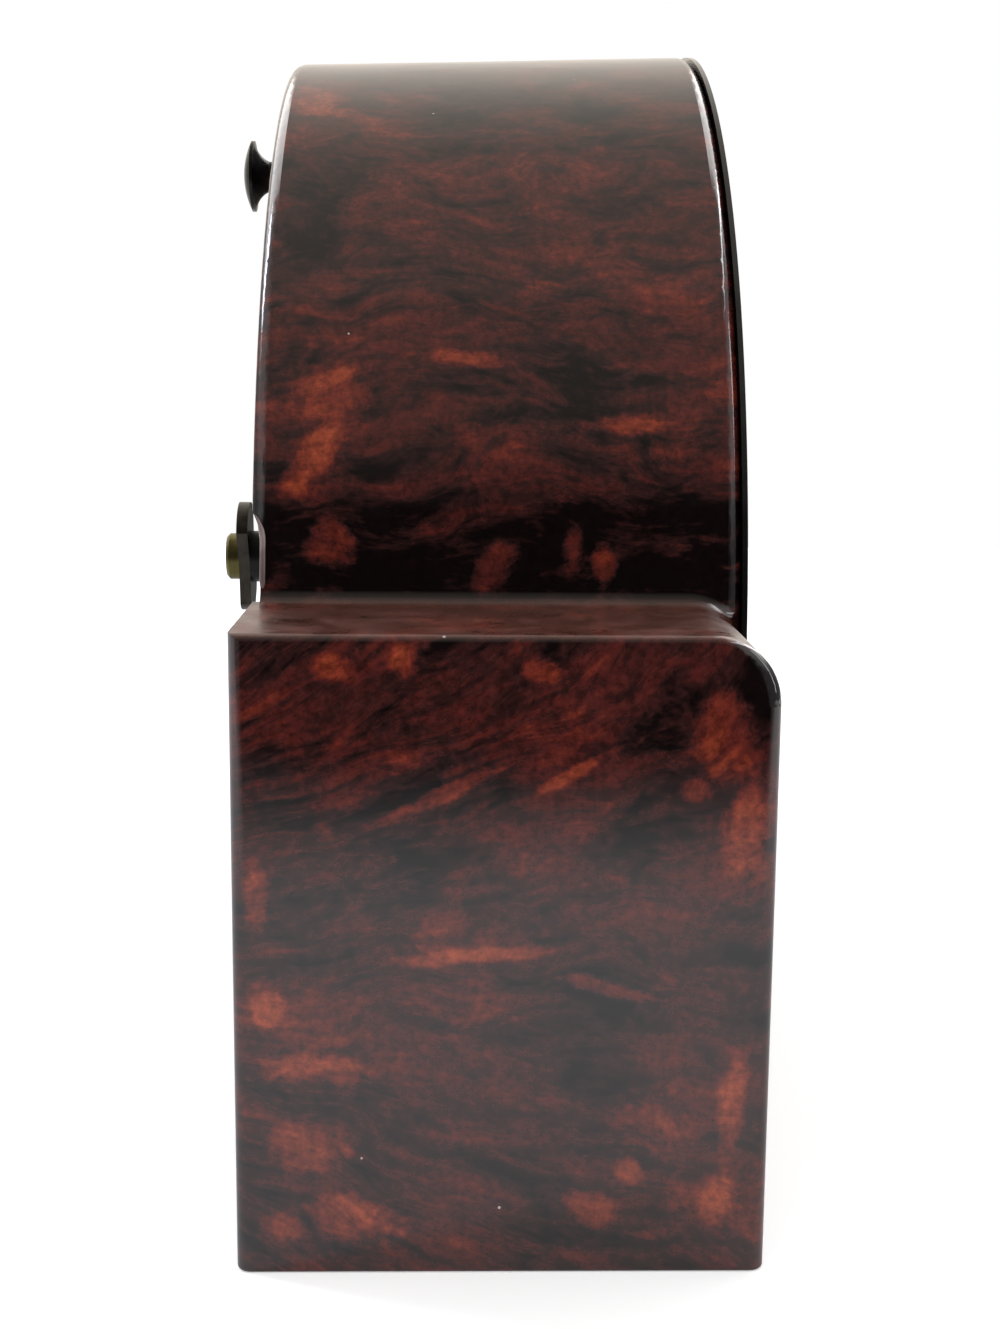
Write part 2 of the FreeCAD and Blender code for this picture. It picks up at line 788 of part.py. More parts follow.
def finger_notch(side, name):
    """A shallow step in the rear rim at one foot of the dome, with a rounded run-out above."""
    deep = s.notch_depth
    rise = root_of(2 * s.notch_round * deep - deep * deep)
    turn_height = s.base_height + s.notch_height - rise
    inner, outer = inner_radius - s.case_wall, s.dome_radius + s.overrun
    low_x, high_x = (inner, outer) if side > 0 else (-outer, -inner)
    step = block("notch_step_" + name, (low_x, rear - deep, s.base_height),
                 (high_x, rear + s.overrun, turn_height))
    curve = doc.addObject("Part::Cylinder", "notch_curve_" + name)
    bind(curve, "Radius", s.notch_round)
    bind(curve, "Height", high_x - low_x)
    where = FreeCAD.Vector(low_x.value, (rear - deep + s.notch_round).value, turn_height.value)
    curve.Placement = FreeCAD.Placement(where, FreeCAD.Rotation(FreeCAD.Vector(0, 1, 0), 90))
    return [step, curve]


def case_shell():
    """The moulded case, with its screw posts, dial opening, panel seat and finger notches."""
    hollow = cut("case_hollow", case_outside(), case_room())
    grown = [rod(f"cover_post_{k}", at, s.cover_post_radius, wall_inside - s.overrun, cover_inside)
             for k, at in enumerate(COVER_POSTS)]
    grown += [rod(f"movement_boss_{k}", at, s.boss_radius, wall_inside - s.overrun, plate_face)
              for k, at in enumerate(BOSSES)]
    half = s.dome_radius + s.seat_gap
    cuts = [rod("dial_opening", (0, dial_height), of_dome("bezel_hole"), front - s.overrun,
                wall_inside + s.overrun),
            block("panel_seat", (-half, front - s.overrun, s.base_height - s.panel_foot - s.seat_gap),
                  (half, dome_face, s.base_height + s.overrun))]
    cuts += [rod(f"cover_pilot_{k}", at, s.cover_screw_radius + s.running_clearance,
                 cover_outside - s.cover_screw_length - s.overrun, cover_outside)
             for k, at in enumerate(COVER_POSTS)]
    cuts += [rod(f"boss_pilot_{k}", at, s.movement_screw_radius + s.running_clearance,
                 plate_inside - s.movement_screw_length - s.seat_gap, plate_inside)
             for k, at in enumerate(BOSSES)]
    cuts += finger_notch(-1, "left") + finger_notch(1, "right")
    keep(cut("case_shell", joined("case_solid", [hollow] + grown), joined("case_cuts", cuts)))


def front_panel():
    """Black arched panel on the front of the dome, its foot let into the base."""
    low, r = s.base_height - s.panel_foot, s.dome_radius
    outline = [(r, arch_front, 0, arch_front + r), (-r, arch_front), (-r, low), (r, low)]
    hole = (0, dial_height, of_dome("bezel_hole"))
    keep(flat("front_panel", outline, dome_face, s.panel_thickness, [hole]))


def bezel_and_glass():
    """Turned bezel with its sleeve, domed crystal and reveal ring."""
    top = panel_face - s.bezel_height
    shoulder = panel_face - s.bezel_flange
    sleeve_out = of_dome("bezel_hole") - s.seat_gap
    seat = sleeve_out - s.bezel_sleeve
    lip = top + s.bezel_lip_depth
    shelf = lip + s.bezel_lip_depth
    end = wall_inside - s.seat_gap
    bead = (of_dome("bezel_radius") - s.bezel_flange + of_dome("bezel_lip")) / 2
    bezel = [(of_dome("bezel_radius"), panel_face), (of_dome("bezel_radius"), shoulder),
             (of_dome("bezel_radius") - s.bezel_flange, shoulder, bead, top), (of_dome("bezel_lip"), lip),
             (of_dome("bezel_lip"), shelf), (seat, shelf), (seat, end), (sleeve_out, end),
             (sleeve_out, panel_face)]
    keep(turned("bezel_ring", bezel, DIAL))
    edge = seat - s.running_clearance
    rim, rise = of_dome("bezel_lip") - s.bezel_lip_depth, s.crystal_rise
    back = shelf + s.crystal_edge
    ball = (rim * rim + rise * rise) / (2 * rise)
    half_rise = root_of(ball * ball - rim * rim / 4) - (ball - rise)
    crystal = [(0, back - rise), (0, shelf - rise, rim / 2, shelf - half_rise), (rim, shelf),
               (edge, shelf), (edge, back), (rim, back, rim / 2, back - half_rise)]
    keep(turned("crystal", crystal, DIAL))
    reveal = [(of_dome("reveal_front"), back), (edge, back), (edge, end), (of_dome("reveal_rear"), end),
              (of_dome("reveal_rear"), end - s.bezel_sleeve)]
    keep(turned("reveal_ring", reveal, DIAL))


def dial():
    """Dial plate behind the front wall, and the feet that join it to the movement."""
    keep(turned("dial_plate", sleeve(s.dial_hole, of_dome("dial_radius"), wall_inside, dial_back), DIAL))
    foot = turned("dial_foot", stepped(dial_back, [(plate_inside, s.dial_foot_radius)]))
    copies("dial_feet", foot, DIAL_FEET)


def back_cover():
    """Sheet cover that fills the rear opening, held by a screw in each post."""
    gap = s.seat_gap
    half, low = s.base_width / 2 - s.case_wall - gap, s.case_wall + gap
    high, r = s.base_height - s.case_wall - gap, inner_radius - gap
    spring = root_of(r * r - (high - arch_rear) * (high - arch_rear))
    outline = [(half, low), (half, high), (spring, high, 0, arch_rear + r), (-spring, high),
               (-half, high), (-half, low)]
    holes = [(x, z, s.cover_screw_radius + gap) for x, z in COVER_POSTS]
    holes += [(0, dial_height - s.winding_drop, s.key_collar_radius + s.cover_hole_gap),
              (0, dial_height + setting_rise, s.knob_neck + s.cover_hole_gap)]
    keep(flat("back_cover", outline, cover_outside, s.cover_thickness, holes))
    screw = headed_screw("cover_screw", cover_outside, s.cover_screw_radius, s.cover_screw_length,
                         s.cover_screw_head, s.cover_screw_head_height)
    copies("cover_screws", screw, COVER_POSTS)


def movement_plates():
    """The two plates: the front one with ears to the case, the rear one with a curb slot."""
    half, low, high = s.plate_half_width, dial_height - s.plate_low, dial_height + s.plate_high
    ear, reach = s.ear_half_width, s.boss_across + s.ear_half_width
    side = [(half, low)]
    for z in (dial_height - s.boss_up, dial_height + s.boss_up):
        side += [(half, z - ear), (reach, z - ear), (reach, z + ear), (half, z + ear)]
    side += [(half, high)]
    outline = side + [(-x, z) for x, z in reversed(side)]
    clear, fit = s.running_clearance, s.fit_clearance
    pivots = [INTERMEDIATE, THIRD, FOURTH, ESCAPE, PALLET]
    shared = [(*at, s.pivot_radius + clear) for at in pivots]
    shared += [(*BALANCE, s.bush_radius + fit), (*SETTING, s.setting_arbor_radius + clear)]
    shared += [(*at, s.pillar_pin + fit) for at in PILLARS]
    holes = shared + [(*WINDING, s.winding_pivot + clear), (*CENTER, s.center_journal + clear),
                      (*MINUTE, s.minute_post_radius + fit)]
    holes += [(*at, s.dial_foot_radius + clear) for at in DIAL_FEET]
    holes += [(*at, s.movement_screw_radius + s.seat_gap) for at in BOSSES]
    keep(flat("front_plate", outline, plate_inside, s.plate_thickness, holes))
    corners = [(half, low), (half, high), (-half, high), (-half, low)]
    holes = shared + [(*WINDING, s.winding_arbor_radius + clear), (*CENTER, s.pivot_radius + clear),
                      (*STUD, s.stud_radius + fit)]
    blank = flat("rear_plate_blank", corners, rear_plate_outside, s.plate_thickness, holes)
    keep(cut("rear_plate", blank, shaped("curb_slot", curb_slot())))


def curb_slot():
    """Curved slot in the rear plate that the regulator's curb pin swings in."""
    margin = math.degrees((s.curb_slot / s.curb_circle).value)
    outer, inner = s.curb_circle + s.curb_slot / 2, s.curb_circle - s.curb_slot / 2
    start, end = rear_plate_inside - s.overrun, rear_plate_outside + s.overrun
    ring = disc(BALANCE, outer, start, end).cut(disc(BALANCE, inner, start, end))
    reach = REGULATOR_SWING + margin
    far = [polar(BALANCE, REGULATOR_BEARING + turn, 2 * s.curb_circle) for turn in (-reach, 0, reach)]
    return ring.common(prism([BALANCE] + far, start, end))


def movement_fastenings():
    """Pillars, their nuts, and the screws that hold the movement to the case."""
    pin, nut_end = s.pillar_pin, rear_plate_outside + s.nut_height
    steps = [(plate_inside, pin), (rear_plate_inside, s.pillar_radius), (nut_end, pin)]
    copies("plate_pillars", turned("pillar", stepped(plate_face, steps)), PILLARS)
    corners = [polar((0, 0), 60 * k, s.nut_radius) for k in range(6)]
    nut = prism(corners, rear_plate_outside, nut_end)
    nut = nut.cut(disc((0, 0), pin + s.fit_clearance, rear_plate_outside, nut_end))
    copies("pillar_nuts", shaped("nut", nut), PILLARS)
    screw = headed_screw("movement_screw", plate_inside, s.movement_screw_radius,
                         s.movement_screw_length, s.movement_screw_head,
                         s.movement_screw_head_height)
    copies("movement_screws", screw, BOSSES)


def mainspring_work():
    """Winding arbor, great wheel with its ratchet and click, and the mainspring."""
    great = layer(s.great_layer)
    arbor_end = rear + s.key_reach - s.key_hub_length / 2
    steps = [(plate_inside + s.end_shake, s.winding_pivot), (arbor_end, s.winding_arbor_radius)]
    keep(turned("winding_arbor", stepped(plate_face, steps), WINDING))
    back = great - s.end_shake
    start = back - s.ratchet_thickness
    nose = CLICK_BEARING + NOSE_TURN
    teeth = []
    for k in range(COUNTS["ratchet"]):
        angle = nose + NOSE_MARGIN + k * 360 / COUNTS["ratchet"]
        teeth += [polar(WINDING, angle, s.ratchet_root), polar(WINDING, angle, s.ratchet_radius)]
    bore = disc(WINDING, s.winding_arbor_radius + s.fit_clearance, start, back)
    keep(shaped("ratchet_wheel", prism(teeth, start, back).cut(bore)))
    rivet_hole = click_work(nose, start, back, great)
    body = crossed_wheel(WINDING, COUNTS["great"], s.great_module, great,
                         s.winding_arbor_radius + s.running_clearance, s.wheel_hub, arms=0)
    keep(shaped("great_wheel", body.cut(rivet_hole)))
    pillar = (-s.pillar_across.value, (dial_height - s.pillar_low).value)
    reach = math.dist(WINDING, pillar) - (s.pillar_radius + s.mainspring_strip).value
    start = layer(s.mainspring_layer)
    keep(shaped("mainspring", coil(
        WINDING, s.winding_arbor_radius + s.mainspring_strip, s.mainspring_outer, MAINSPRING_TURNS,
        bearing_of(WINDING, pillar), s.mainspring_strip, start, start + s.mainspring_width, reach)))


def click_work(nose, start, back, great):
    """The click, its rivet and its leaf spring; gives back the rivet's hole in the great wheel."""
    pivot = polar(WINDING, CLICK_BEARING, s.click_pivot)
    tip = polar(WINDING, nose, s.ratchet_radius + 2 * s.running_clearance)
    way, reach = bearing_of(pivot, tip), math.dist(pivot, tip)
    half = s.click_width / 2
    outline = [beside(pivot, way, along * half, aside * half) for along, aside in CLICK_HEEL_SHARES]
    outline += [beside(pivot, way, reach - half * CLICK_NOSE_SHARE, -half), tip]
    hole = disc(pivot, s.click_rivet + s.running_clearance, start, back)
    keep(shaped("click", prism(outline, start, back).cut(hole)))
    head, end = start - s.end_shake, great + s.wheel_thickness
    rivet = disc(pivot, s.click_rivet, head, end).fuse(disc(pivot, half, head - s.rivet_head, head))
    keep(shaped("click_rivet", rivet))
    anchor = polar(WINDING, CLICK_BEARING + SPRING_TURN, s.click_pivot + half)
    near = beside(pivot, way, reach / 2, -half - s.click_spring_gap)
    leaf = bar(anchor, near, s.click_spring_thickness, start, back)
    keep(shaped("click_spring", leaf.fuse(disc(anchor, s.click_rivet, start, great))))
    return disc(pivot, s.click_rivet + s.fit_clearance, great, end)


def winding_key():
    """Key on the winding arbor: black collar, flat wings and a brass hub."""
    tip = rear + s.key_reach
    wing_back = tip - s.key_hub_length
    wing_front = wing_back - s.key_wing_thickness
    bore = s.winding_arbor_radius + s.fit_clearance
    keep(turned("key_collar", sleeve(bore, s.key_collar_radius, cover_inside, wing_front), WINDING))
    end, wide, waist = s.key_wing_length / 2, s.key_wing_width / 2, s.key_wing_waist / 2
    turn_in = end - s.key_wing_round
    outline = [(turn_in, wide, end, 0), (turn_in, -wide), (0, -waist), (-turn_in, -wide, -end, 0),
               (-turn_in, wide), (0, waist)]
    keep(flat("key_wings", outline, wing_back, s.key_wing_thickness, [(0, 0, bore)], WINDING,
              KEY_BEARING))
    radius, bevel, socket = s.key_hub_radius, s.key_hub_bevel, tip - s.key_hub_length / 2
    hub = [(bore, wing_back), (radius, wing_back), (radius, tip - bevel), (radius - bevel, tip),
           (0, tip), (0, socket + s.fit_clearance), (bore, socket + s.fit_clearance)]
    keep(turned("key_hub", hub, WINDING))


def going_train():
    """Intermediate, centre, third and fourth arbors with their wheels, up to the escape wheel."""
    leaf, eight = COUNTS["intermediate_pinion"], COUNTS["train_pinion"]
    tight = s.arbor_radius + s.fit_clearance
    plates = [(plate_inside + s.end_shake, s.pivot_radius),
              (rear_plate_inside - s.end_shake, s.arbor_radius), (rear_plate_outside, s.pivot_radius)]
    pinion_arbor("intermediate_arbor", INTERMEDIATE, plate_face, plates, leaf, s.great_module,
                 s.great_layer, meshing_turn(WINDING, COUNTS["great"], INTERMEDIATE, leaf))
    wheel("intermediate_wheel", INTERMEDIATE, COUNTS["intermediate"], s.intermediate_module,
          layer(s.intermediate_layer), tight)
    tip = minute_hand_back + s.running_clearance
    steps = [(plate_inside + s.end_shake, s.center_journal), *plates[1:]]
    pinion_arbor("center_arbor", CENTER, tip, steps, eight, s.intermediate_module,
                 s.intermediate_layer,
                 meshing_turn(INTERMEDIATE, COUNTS["intermediate"], CENTER, eight))
    wheel("center_wheel", CENTER, COUNTS["center"], s.center_module, layer(s.center_layer), tight)
    pinion_arbor("third_arbor", THIRD, plate_face, plates, eight, s.center_module, s.center_layer,
                 meshing_turn(CENTER, COUNTS["center"], THIRD, eight))
    wheel("third_wheel", THIRD, COUNTS["third"], s.third_module, layer(s.third_layer), tight)
    pinion_arbor("fourth_arbor", FOURTH, plate_face, plates, eight, s.third_module, s.third_layer,
                 meshing_turn(THIRD, COUNTS["third"], FOURTH, eight))
    wheel("fourth_wheel", FOURTH, COUNTS["fourth"], s.fourth_module, layer(s.fourth_layer), tight)
    pinion_arbor("escape_arbor", ESCAPE, plate_face, plates, eight, s.fourth_module,
                 s.fourth_layer, meshing_turn(FOURTH, COUNTS["fourth"], ESCAPE, eight))


def escapement():
    """Escape wheel with pointed teeth, and the lever with its two pins and its fork."""
    start, pitch = layer(s.escape_layer), 360 / COUNTS["escape"]
    end = start + s.wheel_thickness
    first_pin = PALLET_BEARING + PIN_SPAN_PITCHES * pitch / 2
    phase = first_pin - pitch / 4
    points = []
    for k in range(COUNTS["escape"]):
        for radius, turn in ((s.escape_root, -ESCAPE_ROOT_TURN), (s.escape_radius, -ESCAPE_TIP_TURN),
                             (s.escape_radius, ESCAPE_TIP_TURN), (s.escape_root, ESCAPE_ROOT_TURN)):
            points.append(polar(ESCAPE, phase + k * pitch + turn, radius))
    bore = disc(ESCAPE, s.arbor_radius + s.fit_clearance, start, end)
    keep(shaped("escape_wheel", prism(points, start, end).cut(bore)))
    keep(turned("pallet_arbor", stepped(plate_face, [
        (plate_inside + s.end_shake, s.pivot_radius),
        (rear_plate_inside - s.end_shake, s.arbor_radius), (rear_plate_outside, s.pivot_radius)]),
        PALLET))
    lever_start = end + s.lever_gap
    lever_end = lever_start + s.lever_thickness
    circle = s.escape_radius + s.pallet_pin_gap + s.pallet_pin_radius
    pins = [polar(ESCAPE, PALLET_BEARING + side * PIN_SPAN_PITCHES * pitch / 2, circle)
            for side in (-1, 1)]
    pin = turned("pallet_pin", stepped(start - s.lever_gap, [(lever_end, s.pallet_pin_radius)]))
    copies("pallet_pins", pin, pins)
    middle = ((pins[0][0] + pins[1][0]) / 2, (pins[0][1] + pins[1][1]) / 2)
    fork_tip = polar(PALLET, BALANCE_BEARING, s.lever_length)
    fork_root = polar(PALLET, BALANCE_BEARING, s.lever_length - 2 * s.fork_depth)
    notch_root = polar(PALLET, BALANCE_BEARING, s.lever_length - s.fork_depth)
    past_tip = polar(PALLET, BALANCE_BEARING, s.lever_length + s.overrun)
    lever = disc(PALLET, s.lever_width, lever_start, lever_end)
    for first, second, width in ((pins[0], pins[1], s.lever_width), (PALLET, middle, s.lever_width),
                                 (PALLET, fork_root, s.lever_width), (fork_root, fork_tip, s.fork_width)):
        lever = lever.fuse(bar(first, second, width, lever_start, lever_end))
    for at in pins:
        lever = lever.fuse(disc(at, s.lever_width / 2, lever_start, lever_end))
    for at in pins:
        lever = lever.cut(disc(at, s.pallet_pin_radius + s.fit_clearance, lever_start, lever_end))
    lever = lever.cut(bar(notch_root, past_tip, s.fork_notch, lever_start, lever_end))
    lever = lever.cut(disc(PALLET, s.arbor_radius + s.fit_clearance, lever_start, lever_end))
    keep(shaped("pallet_lever", lever.removeSplitter()))


def balance():
    """Balance wheel on its staff between two bushes, with roller, hairspring and regulator."""
    clear, fit, stand = s.running_clearance, s.fit_clearance, s.bush_stand
    bore = s.balance_pivot + clear
    keep(turned("front_bush", sleeve(bore, s.bush_radius, plate_face, plate_inside + stand), BALANCE))
    bush_end = rear_plate_outside + stand
    keep(turned("rear_bush", sleeve(bore, s.bush_radius, rear_plate_inside - stand, bush_end), BALANCE))
    steps = [(plate_inside + stand + s.end_shake, s.balance_pivot),
             (rear_plate_inside - stand - s.end_shake, s.arbor_radius),
             (rear_plate_outside, s.balance_pivot)]
    keep(turned("balance_staff", stepped(plate_face, steps), BALANCE))
    start = layer(s.balance_layer)
    end = start + s.balance_thickness
    rim = s.balance_radius - s.balance_rim
    shape = disc(BALANCE, s.balance_radius, start, end).cut(disc(BALANCE, rim, start, end))
    ends = [polar(BALANCE, PALLET_BEARING + turn, rim + s.balance_rim / 2) for turn in (90, 270)]
    shape = shape.fuse(bar(ends[0], ends[1], s.balance_arm, start, end))
    shape = shape.fuse(disc(BALANCE, 2 * s.arbor_radius, start, end))
    hole = disc(BALANCE, s.arbor_radius + fit, start, end)
    keep(shaped("balance_wheel", shape.cut(hole).removeSplitter()))
    roller_end = start - s.end_shake
    roller_start = roller_end - s.lever_thickness
    roller = disc(BALANCE, s.impulse_disc, roller_start, roller_end)
    roller = roller.cut(disc(BALANCE, s.arbor_radius + fit, roller_start, roller_end))
    pin_at = polar(BALANCE, BALANCE_BEARING + 180, s.impulse_radius)
    lever_start = layer(s.escape_layer) + s.wheel_thickness + s.lever_gap
    roller = roller.fuse(disc(pin_at, s.impulse_pin_radius, lever_start, roller_start))
    keep(shaped("impulse_roller", roller))
    start = layer(s.hairspring_layer)
    end = start + s.hairspring_width
    collet = sleeve(s.arbor_radius + fit, s.hairspring_inner - s.hairspring_strip, start, end)
    keep(turned("hairspring_collet", collet, BALANCE))
    keep(shaped("hairspring", coil(BALANCE, s.hairspring_inner, s.hairspring_outer, HAIRSPRING_TURNS,
                                   STUD_BEARING, s.hairspring_strip, start, end)))
    keep(turned("hairspring_stud", stepped(start, [(rear_plate_outside, s.stud_radius)]), STUD))
    lever_front = rear_plate_outside + clear
    lever_back = lever_front + s.regulator_thickness
    tip = polar(BALANCE, REGULATOR_BEARING, s.regulator_reach)
    lever = disc(BALANCE, s.regulator_ring, lever_front, lever_back)
    lever = lever.fuse(bar(BALANCE, tip, s.regulator_width, lever_front, lever_back))
    lever = lever.fuse(disc(tip, s.regulator_width / 2, lever_front, lever_back))
    lever = lever.cut(disc(BALANCE, s.bush_radius + clear, lever_front, lever_back))
    lever = lever.cut(disc(CURB, s.curb_pin_radius + fit, lever_front, lever_back))
    keep(shaped("regulator_lever", lever.removeSplitter()))
    keep(turned("curb_pin", stepped(start, [(lever_back, s.curb_pin_radius)]), CURB))


def motion_work():
    """Cannon pinion, minute wheel on its post, and the hour wheel with its pipe."""
    bore = s.center_journal + s.running_clearance
    square = s.cannon_square
    hand_front = minute_hand_back - s.hand_thickness
    tip = hand_front - s.hand_nut_height / 2
    pipe = turned("cannon_pipe", [(bore, motion_back), (s.cannon_radius, motion_back),
                                  (s.cannon_radius, minute_hand_back), (square, minute_hand_back),
                                  (square, tip), (0, tip), (0, minute_hand_back),
                                  (bore, minute_hand_back)], CENTER)
    turn = meshing_turn(MINUTE, COUNTS["minute"], CENTER, COUNTS["cannon"])
    leaves = leaf_block(CENTER, COUNTS["cannon"], s.motion_module, leaf_front, motion_back, turn)
    leaves = leaves.cut(disc(CENTER, bore, leaf_front, motion_back))
    keep(joined("cannon_pinion", [pipe, shaped("cannon_leaves", leaves)]))
    keep(turned("minute_post", [(0, minute_pinion_front - s.end_shake - s.post_head_height),
                                (s.post_head, minute_pinion_front - s.end_shake - s.post_head_height),
                                (s.post_head, minute_pinion_front - s.end_shake),
                                (s.minute_post_radius, minute_pinion_front - s.end_shake),
                                (s.minute_post_radius, plate_inside), (0, plate_inside)], MINUTE))
    bore = s.minute_post_radius + s.running_clearance
    turn = meshing_turn(CENTER, COUNTS["hour"], MINUTE, COUNTS["minute_pinion"])
    pinion = leaf_block(MINUTE, COUNTS["minute_pinion"], s.hour_module, minute_pinion_front,
                        minute_front, turn)
    pinion = pinion.cut(disc(MINUTE, bore, minute_pinion_front, minute_front))
    body = crossed_wheel(MINUTE, COUNTS["minute"], s.motion_module, minute_front, bore,
                         hub=s.wheel_hub + s.wheel_arm)
    keep(joined("minute_wheel", [shaped("minute_rim", body), shaped("minute_leaves", pinion)]))
    bore = s.cannon_radius + s.running_clearance
    hour_front = hour_back - s.wheel_thickness
    body = crossed_wheel(CENTER, COUNTS["hour"], s.hour_module, hour_front, bore,
                         hub=s.wheel_hub + s.wheel_arm)
    pipe_tip = hour_hand_back - s.hand_thickness
    step = s.hour_pipe - s.hour_step
    pipe = turned("hour_pipe", [(bore, hour_back), (s.hour_pipe, hour_back),
                                (s.hour_pipe, hour_hand_back), (step, hour_hand_back),
                                (step, pipe_tip), (bore, pipe_tip)], CENTER)
    keep(joined("hour_wheel", [pipe, shaped("hour_rim", body)]))


def hands():
    """Hour and minute hands, and the nut that holds them."""
    fit = s.fit_clearance
    keep(hand("hour_hand", of_dome("hour_hand_length"), s.hour_hand_width, hour_hand_back,
              s.hour_pipe - s.hour_step + fit, s.hour_boss, HOUR_HAND_TURN))
    keep(hand("minute_hand", of_dome("minute_hand_length"), s.minute_hand_width, minute_hand_back,
              s.cannon_square + fit, s.minute_boss, MINUTE_HAND_TURN))
    back = minute_hand_back - s.hand_thickness
    tip, inside = back - s.hand_nut_height, back - s.hand_nut_height / 2 - fit
    bore, crown = s.cannon_square + fit, s.hand_nut_radius - s.hand_nut_height / 2
    nut = [(0, tip), (crown, tip), (s.hand_nut_radius, back - s.hand_nut_height / 2),
           (s.hand_nut_radius, back), (bore, back), (bore, inside), (0, inside)]
    keep(turned("hand_nut", nut, CENTER))


def hand(label, length, width, back, bore, boss, turn):
    """A lance-shaped hand with a round boss and a short tail."""
    neck = width * HAND_NECK_SHARE
    shoulder = root_of(boss * boss - neck * neck)
    wide, tip, tail = length * HAND_WIDEST_SHARE, s.hand_tip / 2, s.hand_tail
    outline = [(-tip, length), (tip, length), (width / 2, wide), (neck, shoulder, boss, 0),
               (neck, -shoulder), (neck, -tail), (-neck, -tail), (-neck, -shoulder, -boss, 0),
               (-neck, shoulder), (-width / 2, wide)]
    return flat(label, outline, back, s.hand_thickness, [(0, 0, bore)], CENTER, turn)


def setting_work():
    """Setting arbor with its pinion in the motion work, and the black knob behind the case."""
    radius = s.setting_arbor_radius
    tip = rear + s.knob_reach
    start = cover_inside - s.seat_gap
    socket = start + s.knob_socket
    collar = plate_inside + s.end_shake
    steps = [(collar, radius), (collar + s.collar_length, s.setting_collar), (socket, radius)]
    keep(turned("setting_arbor", stepped(leaf_front, steps), SETTING))
    turn = meshing_turn(MINUTE, COUNTS["minute"], SETTING, COUNTS["setting"])
    leaves = leaf_block(SETTING, COUNTS["setting"], s.motion_module, leaf_front, motion_back, turn)
    bore = disc(SETTING, radius + s.fit_clearance, leaf_front, motion_back)
    keep(shaped("setting_pinion", leaves.cut(bore)))
    rim_back, wide, neck = tip - s.knob_crown, s.knob_radius, s.knob_neck
    rim_front = rim_back - s.knob_rim
    bore, floor = radius + s.fit_clearance, socket + s.fit_clearance
    trumpet = (neck + (wide - neck) * KNOB_TRUMPET_SHARE, rim_front - s.knob_skirt * KNOB_TRUMPET_SHARE)
    ball = (wide * wide + s.knob_crown * s.knob_crown) / (2 * s.knob_crown)
    crown = (wide / 2, tip - ball + root_of(ball * ball - wide * wide / 4))
    knob = [(bore, start), (neck, start), (neck, rim_front - s.knob_skirt, *trumpet),
            (wide, rim_front), (wide, rim_back, *crown), (0, tip), (0, floor), (bore, floor)]
    keep(turned("set_knob", knob, SETTING))


def write_files():
    """Check every object and write each sub-part to its own file."""
    doc.recompute()
    for item in doc.Objects:
        if "Invalid" in item.State or "Error" in item.State:
            raise RuntimeError(f"{item.Label} did not compute: {item.State}")
    os.makedirs("parts", exist_ok=True)
    for label, piece in PIECES.items():
        shape = piece.Shape
        if shape.isNull() or not shape.isValid() or not shape.Solids:
            raise RuntimeError(f"{label} has no valid solid")
        shape.exportStep(os.path.join("parts", label + ".step"))
        print(label, len(shape.Solids), round(shape.Volume, 3))


case_shell()
front_panel()
bezel_and_glass()
dial()
back_cover()
movement_plates()
movement_fastenings()
mainspring_work()
winding_key()
going_train()
escapement()
balance()
motion_work()
hands()
setting_work()
write_files()
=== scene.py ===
"""Looks of the beehive shelf clock: stage, camera, finishes, fine pieces of the case and dial."""
import functools
import math

import bmesh
import bpy
from mathutils import Matrix, Vector


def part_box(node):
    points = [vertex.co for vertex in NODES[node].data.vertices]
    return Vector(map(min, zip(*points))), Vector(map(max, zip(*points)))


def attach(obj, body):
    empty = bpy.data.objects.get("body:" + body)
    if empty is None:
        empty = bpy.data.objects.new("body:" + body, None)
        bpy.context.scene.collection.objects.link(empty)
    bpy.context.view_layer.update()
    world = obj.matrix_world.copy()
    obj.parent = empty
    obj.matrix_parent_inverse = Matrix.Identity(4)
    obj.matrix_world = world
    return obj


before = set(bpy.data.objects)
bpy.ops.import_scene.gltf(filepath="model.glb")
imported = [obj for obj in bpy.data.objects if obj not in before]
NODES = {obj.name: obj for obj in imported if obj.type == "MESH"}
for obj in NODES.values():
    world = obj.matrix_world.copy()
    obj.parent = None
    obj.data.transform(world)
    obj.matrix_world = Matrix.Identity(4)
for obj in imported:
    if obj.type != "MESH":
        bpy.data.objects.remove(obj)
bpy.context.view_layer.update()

bl_info = {
    "name": "Beehive shelf clock",
    "version": (1, 0, 0),
    "blender": (4, 5, 0),
    "location": "3D View > Sidebar > Clock",
    "description": "Finishes and fine pieces of a moulded shelf clock",
    "category": "Object",
}

MM = 0.001

# Places and sizes of the case and the dial that the fine pieces follow
DIAL_Z = (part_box("dial_plate")[0].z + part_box("dial_plate")[1].z) / 2
DIAL_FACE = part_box("dial_plate")[0].y
REAR, BASE_DEPTH, HALF_WIDTH = 32 * MM, 64 * MM, 113.5 * MM
LEDGE = 78 * MM  # top of the base
FRONT_ROUND = 8.2 * MM  # front edge of the ledge
DOME_RADIUS, DOME_LENGTH = 89.3 * MM, 62.7 * MM
DOME_CENTRE_REAR, DOME_CENTRE_FRONT = 67.075 * MM, 68.925 * MM
RIM_ROUND = 1.8 * MM  # front rim of the dome
NOTCH_DEPTH, NOTCH_STRAIGHT, NOTCH_ROUND = 1.3 * MM, 7.7 * MM, 6.8 * MM  # finger notch

# The photograph's camera: from the base's upper rear left corner, in depths of the base
CAMERA_LEFT, CAMERA_AHEAD, CAMERA_ABOVE = 3.2164, 0.4111, 0.4886
CAMERA_YAW, CAMERA_PITCH, CAMERA_ROLL = 0.0239, 0.1665, 0.0088  # radians
FOCAL_PIXELS, PHOTO_HEIGHT, SENSOR = 1826.5, 1329, 36

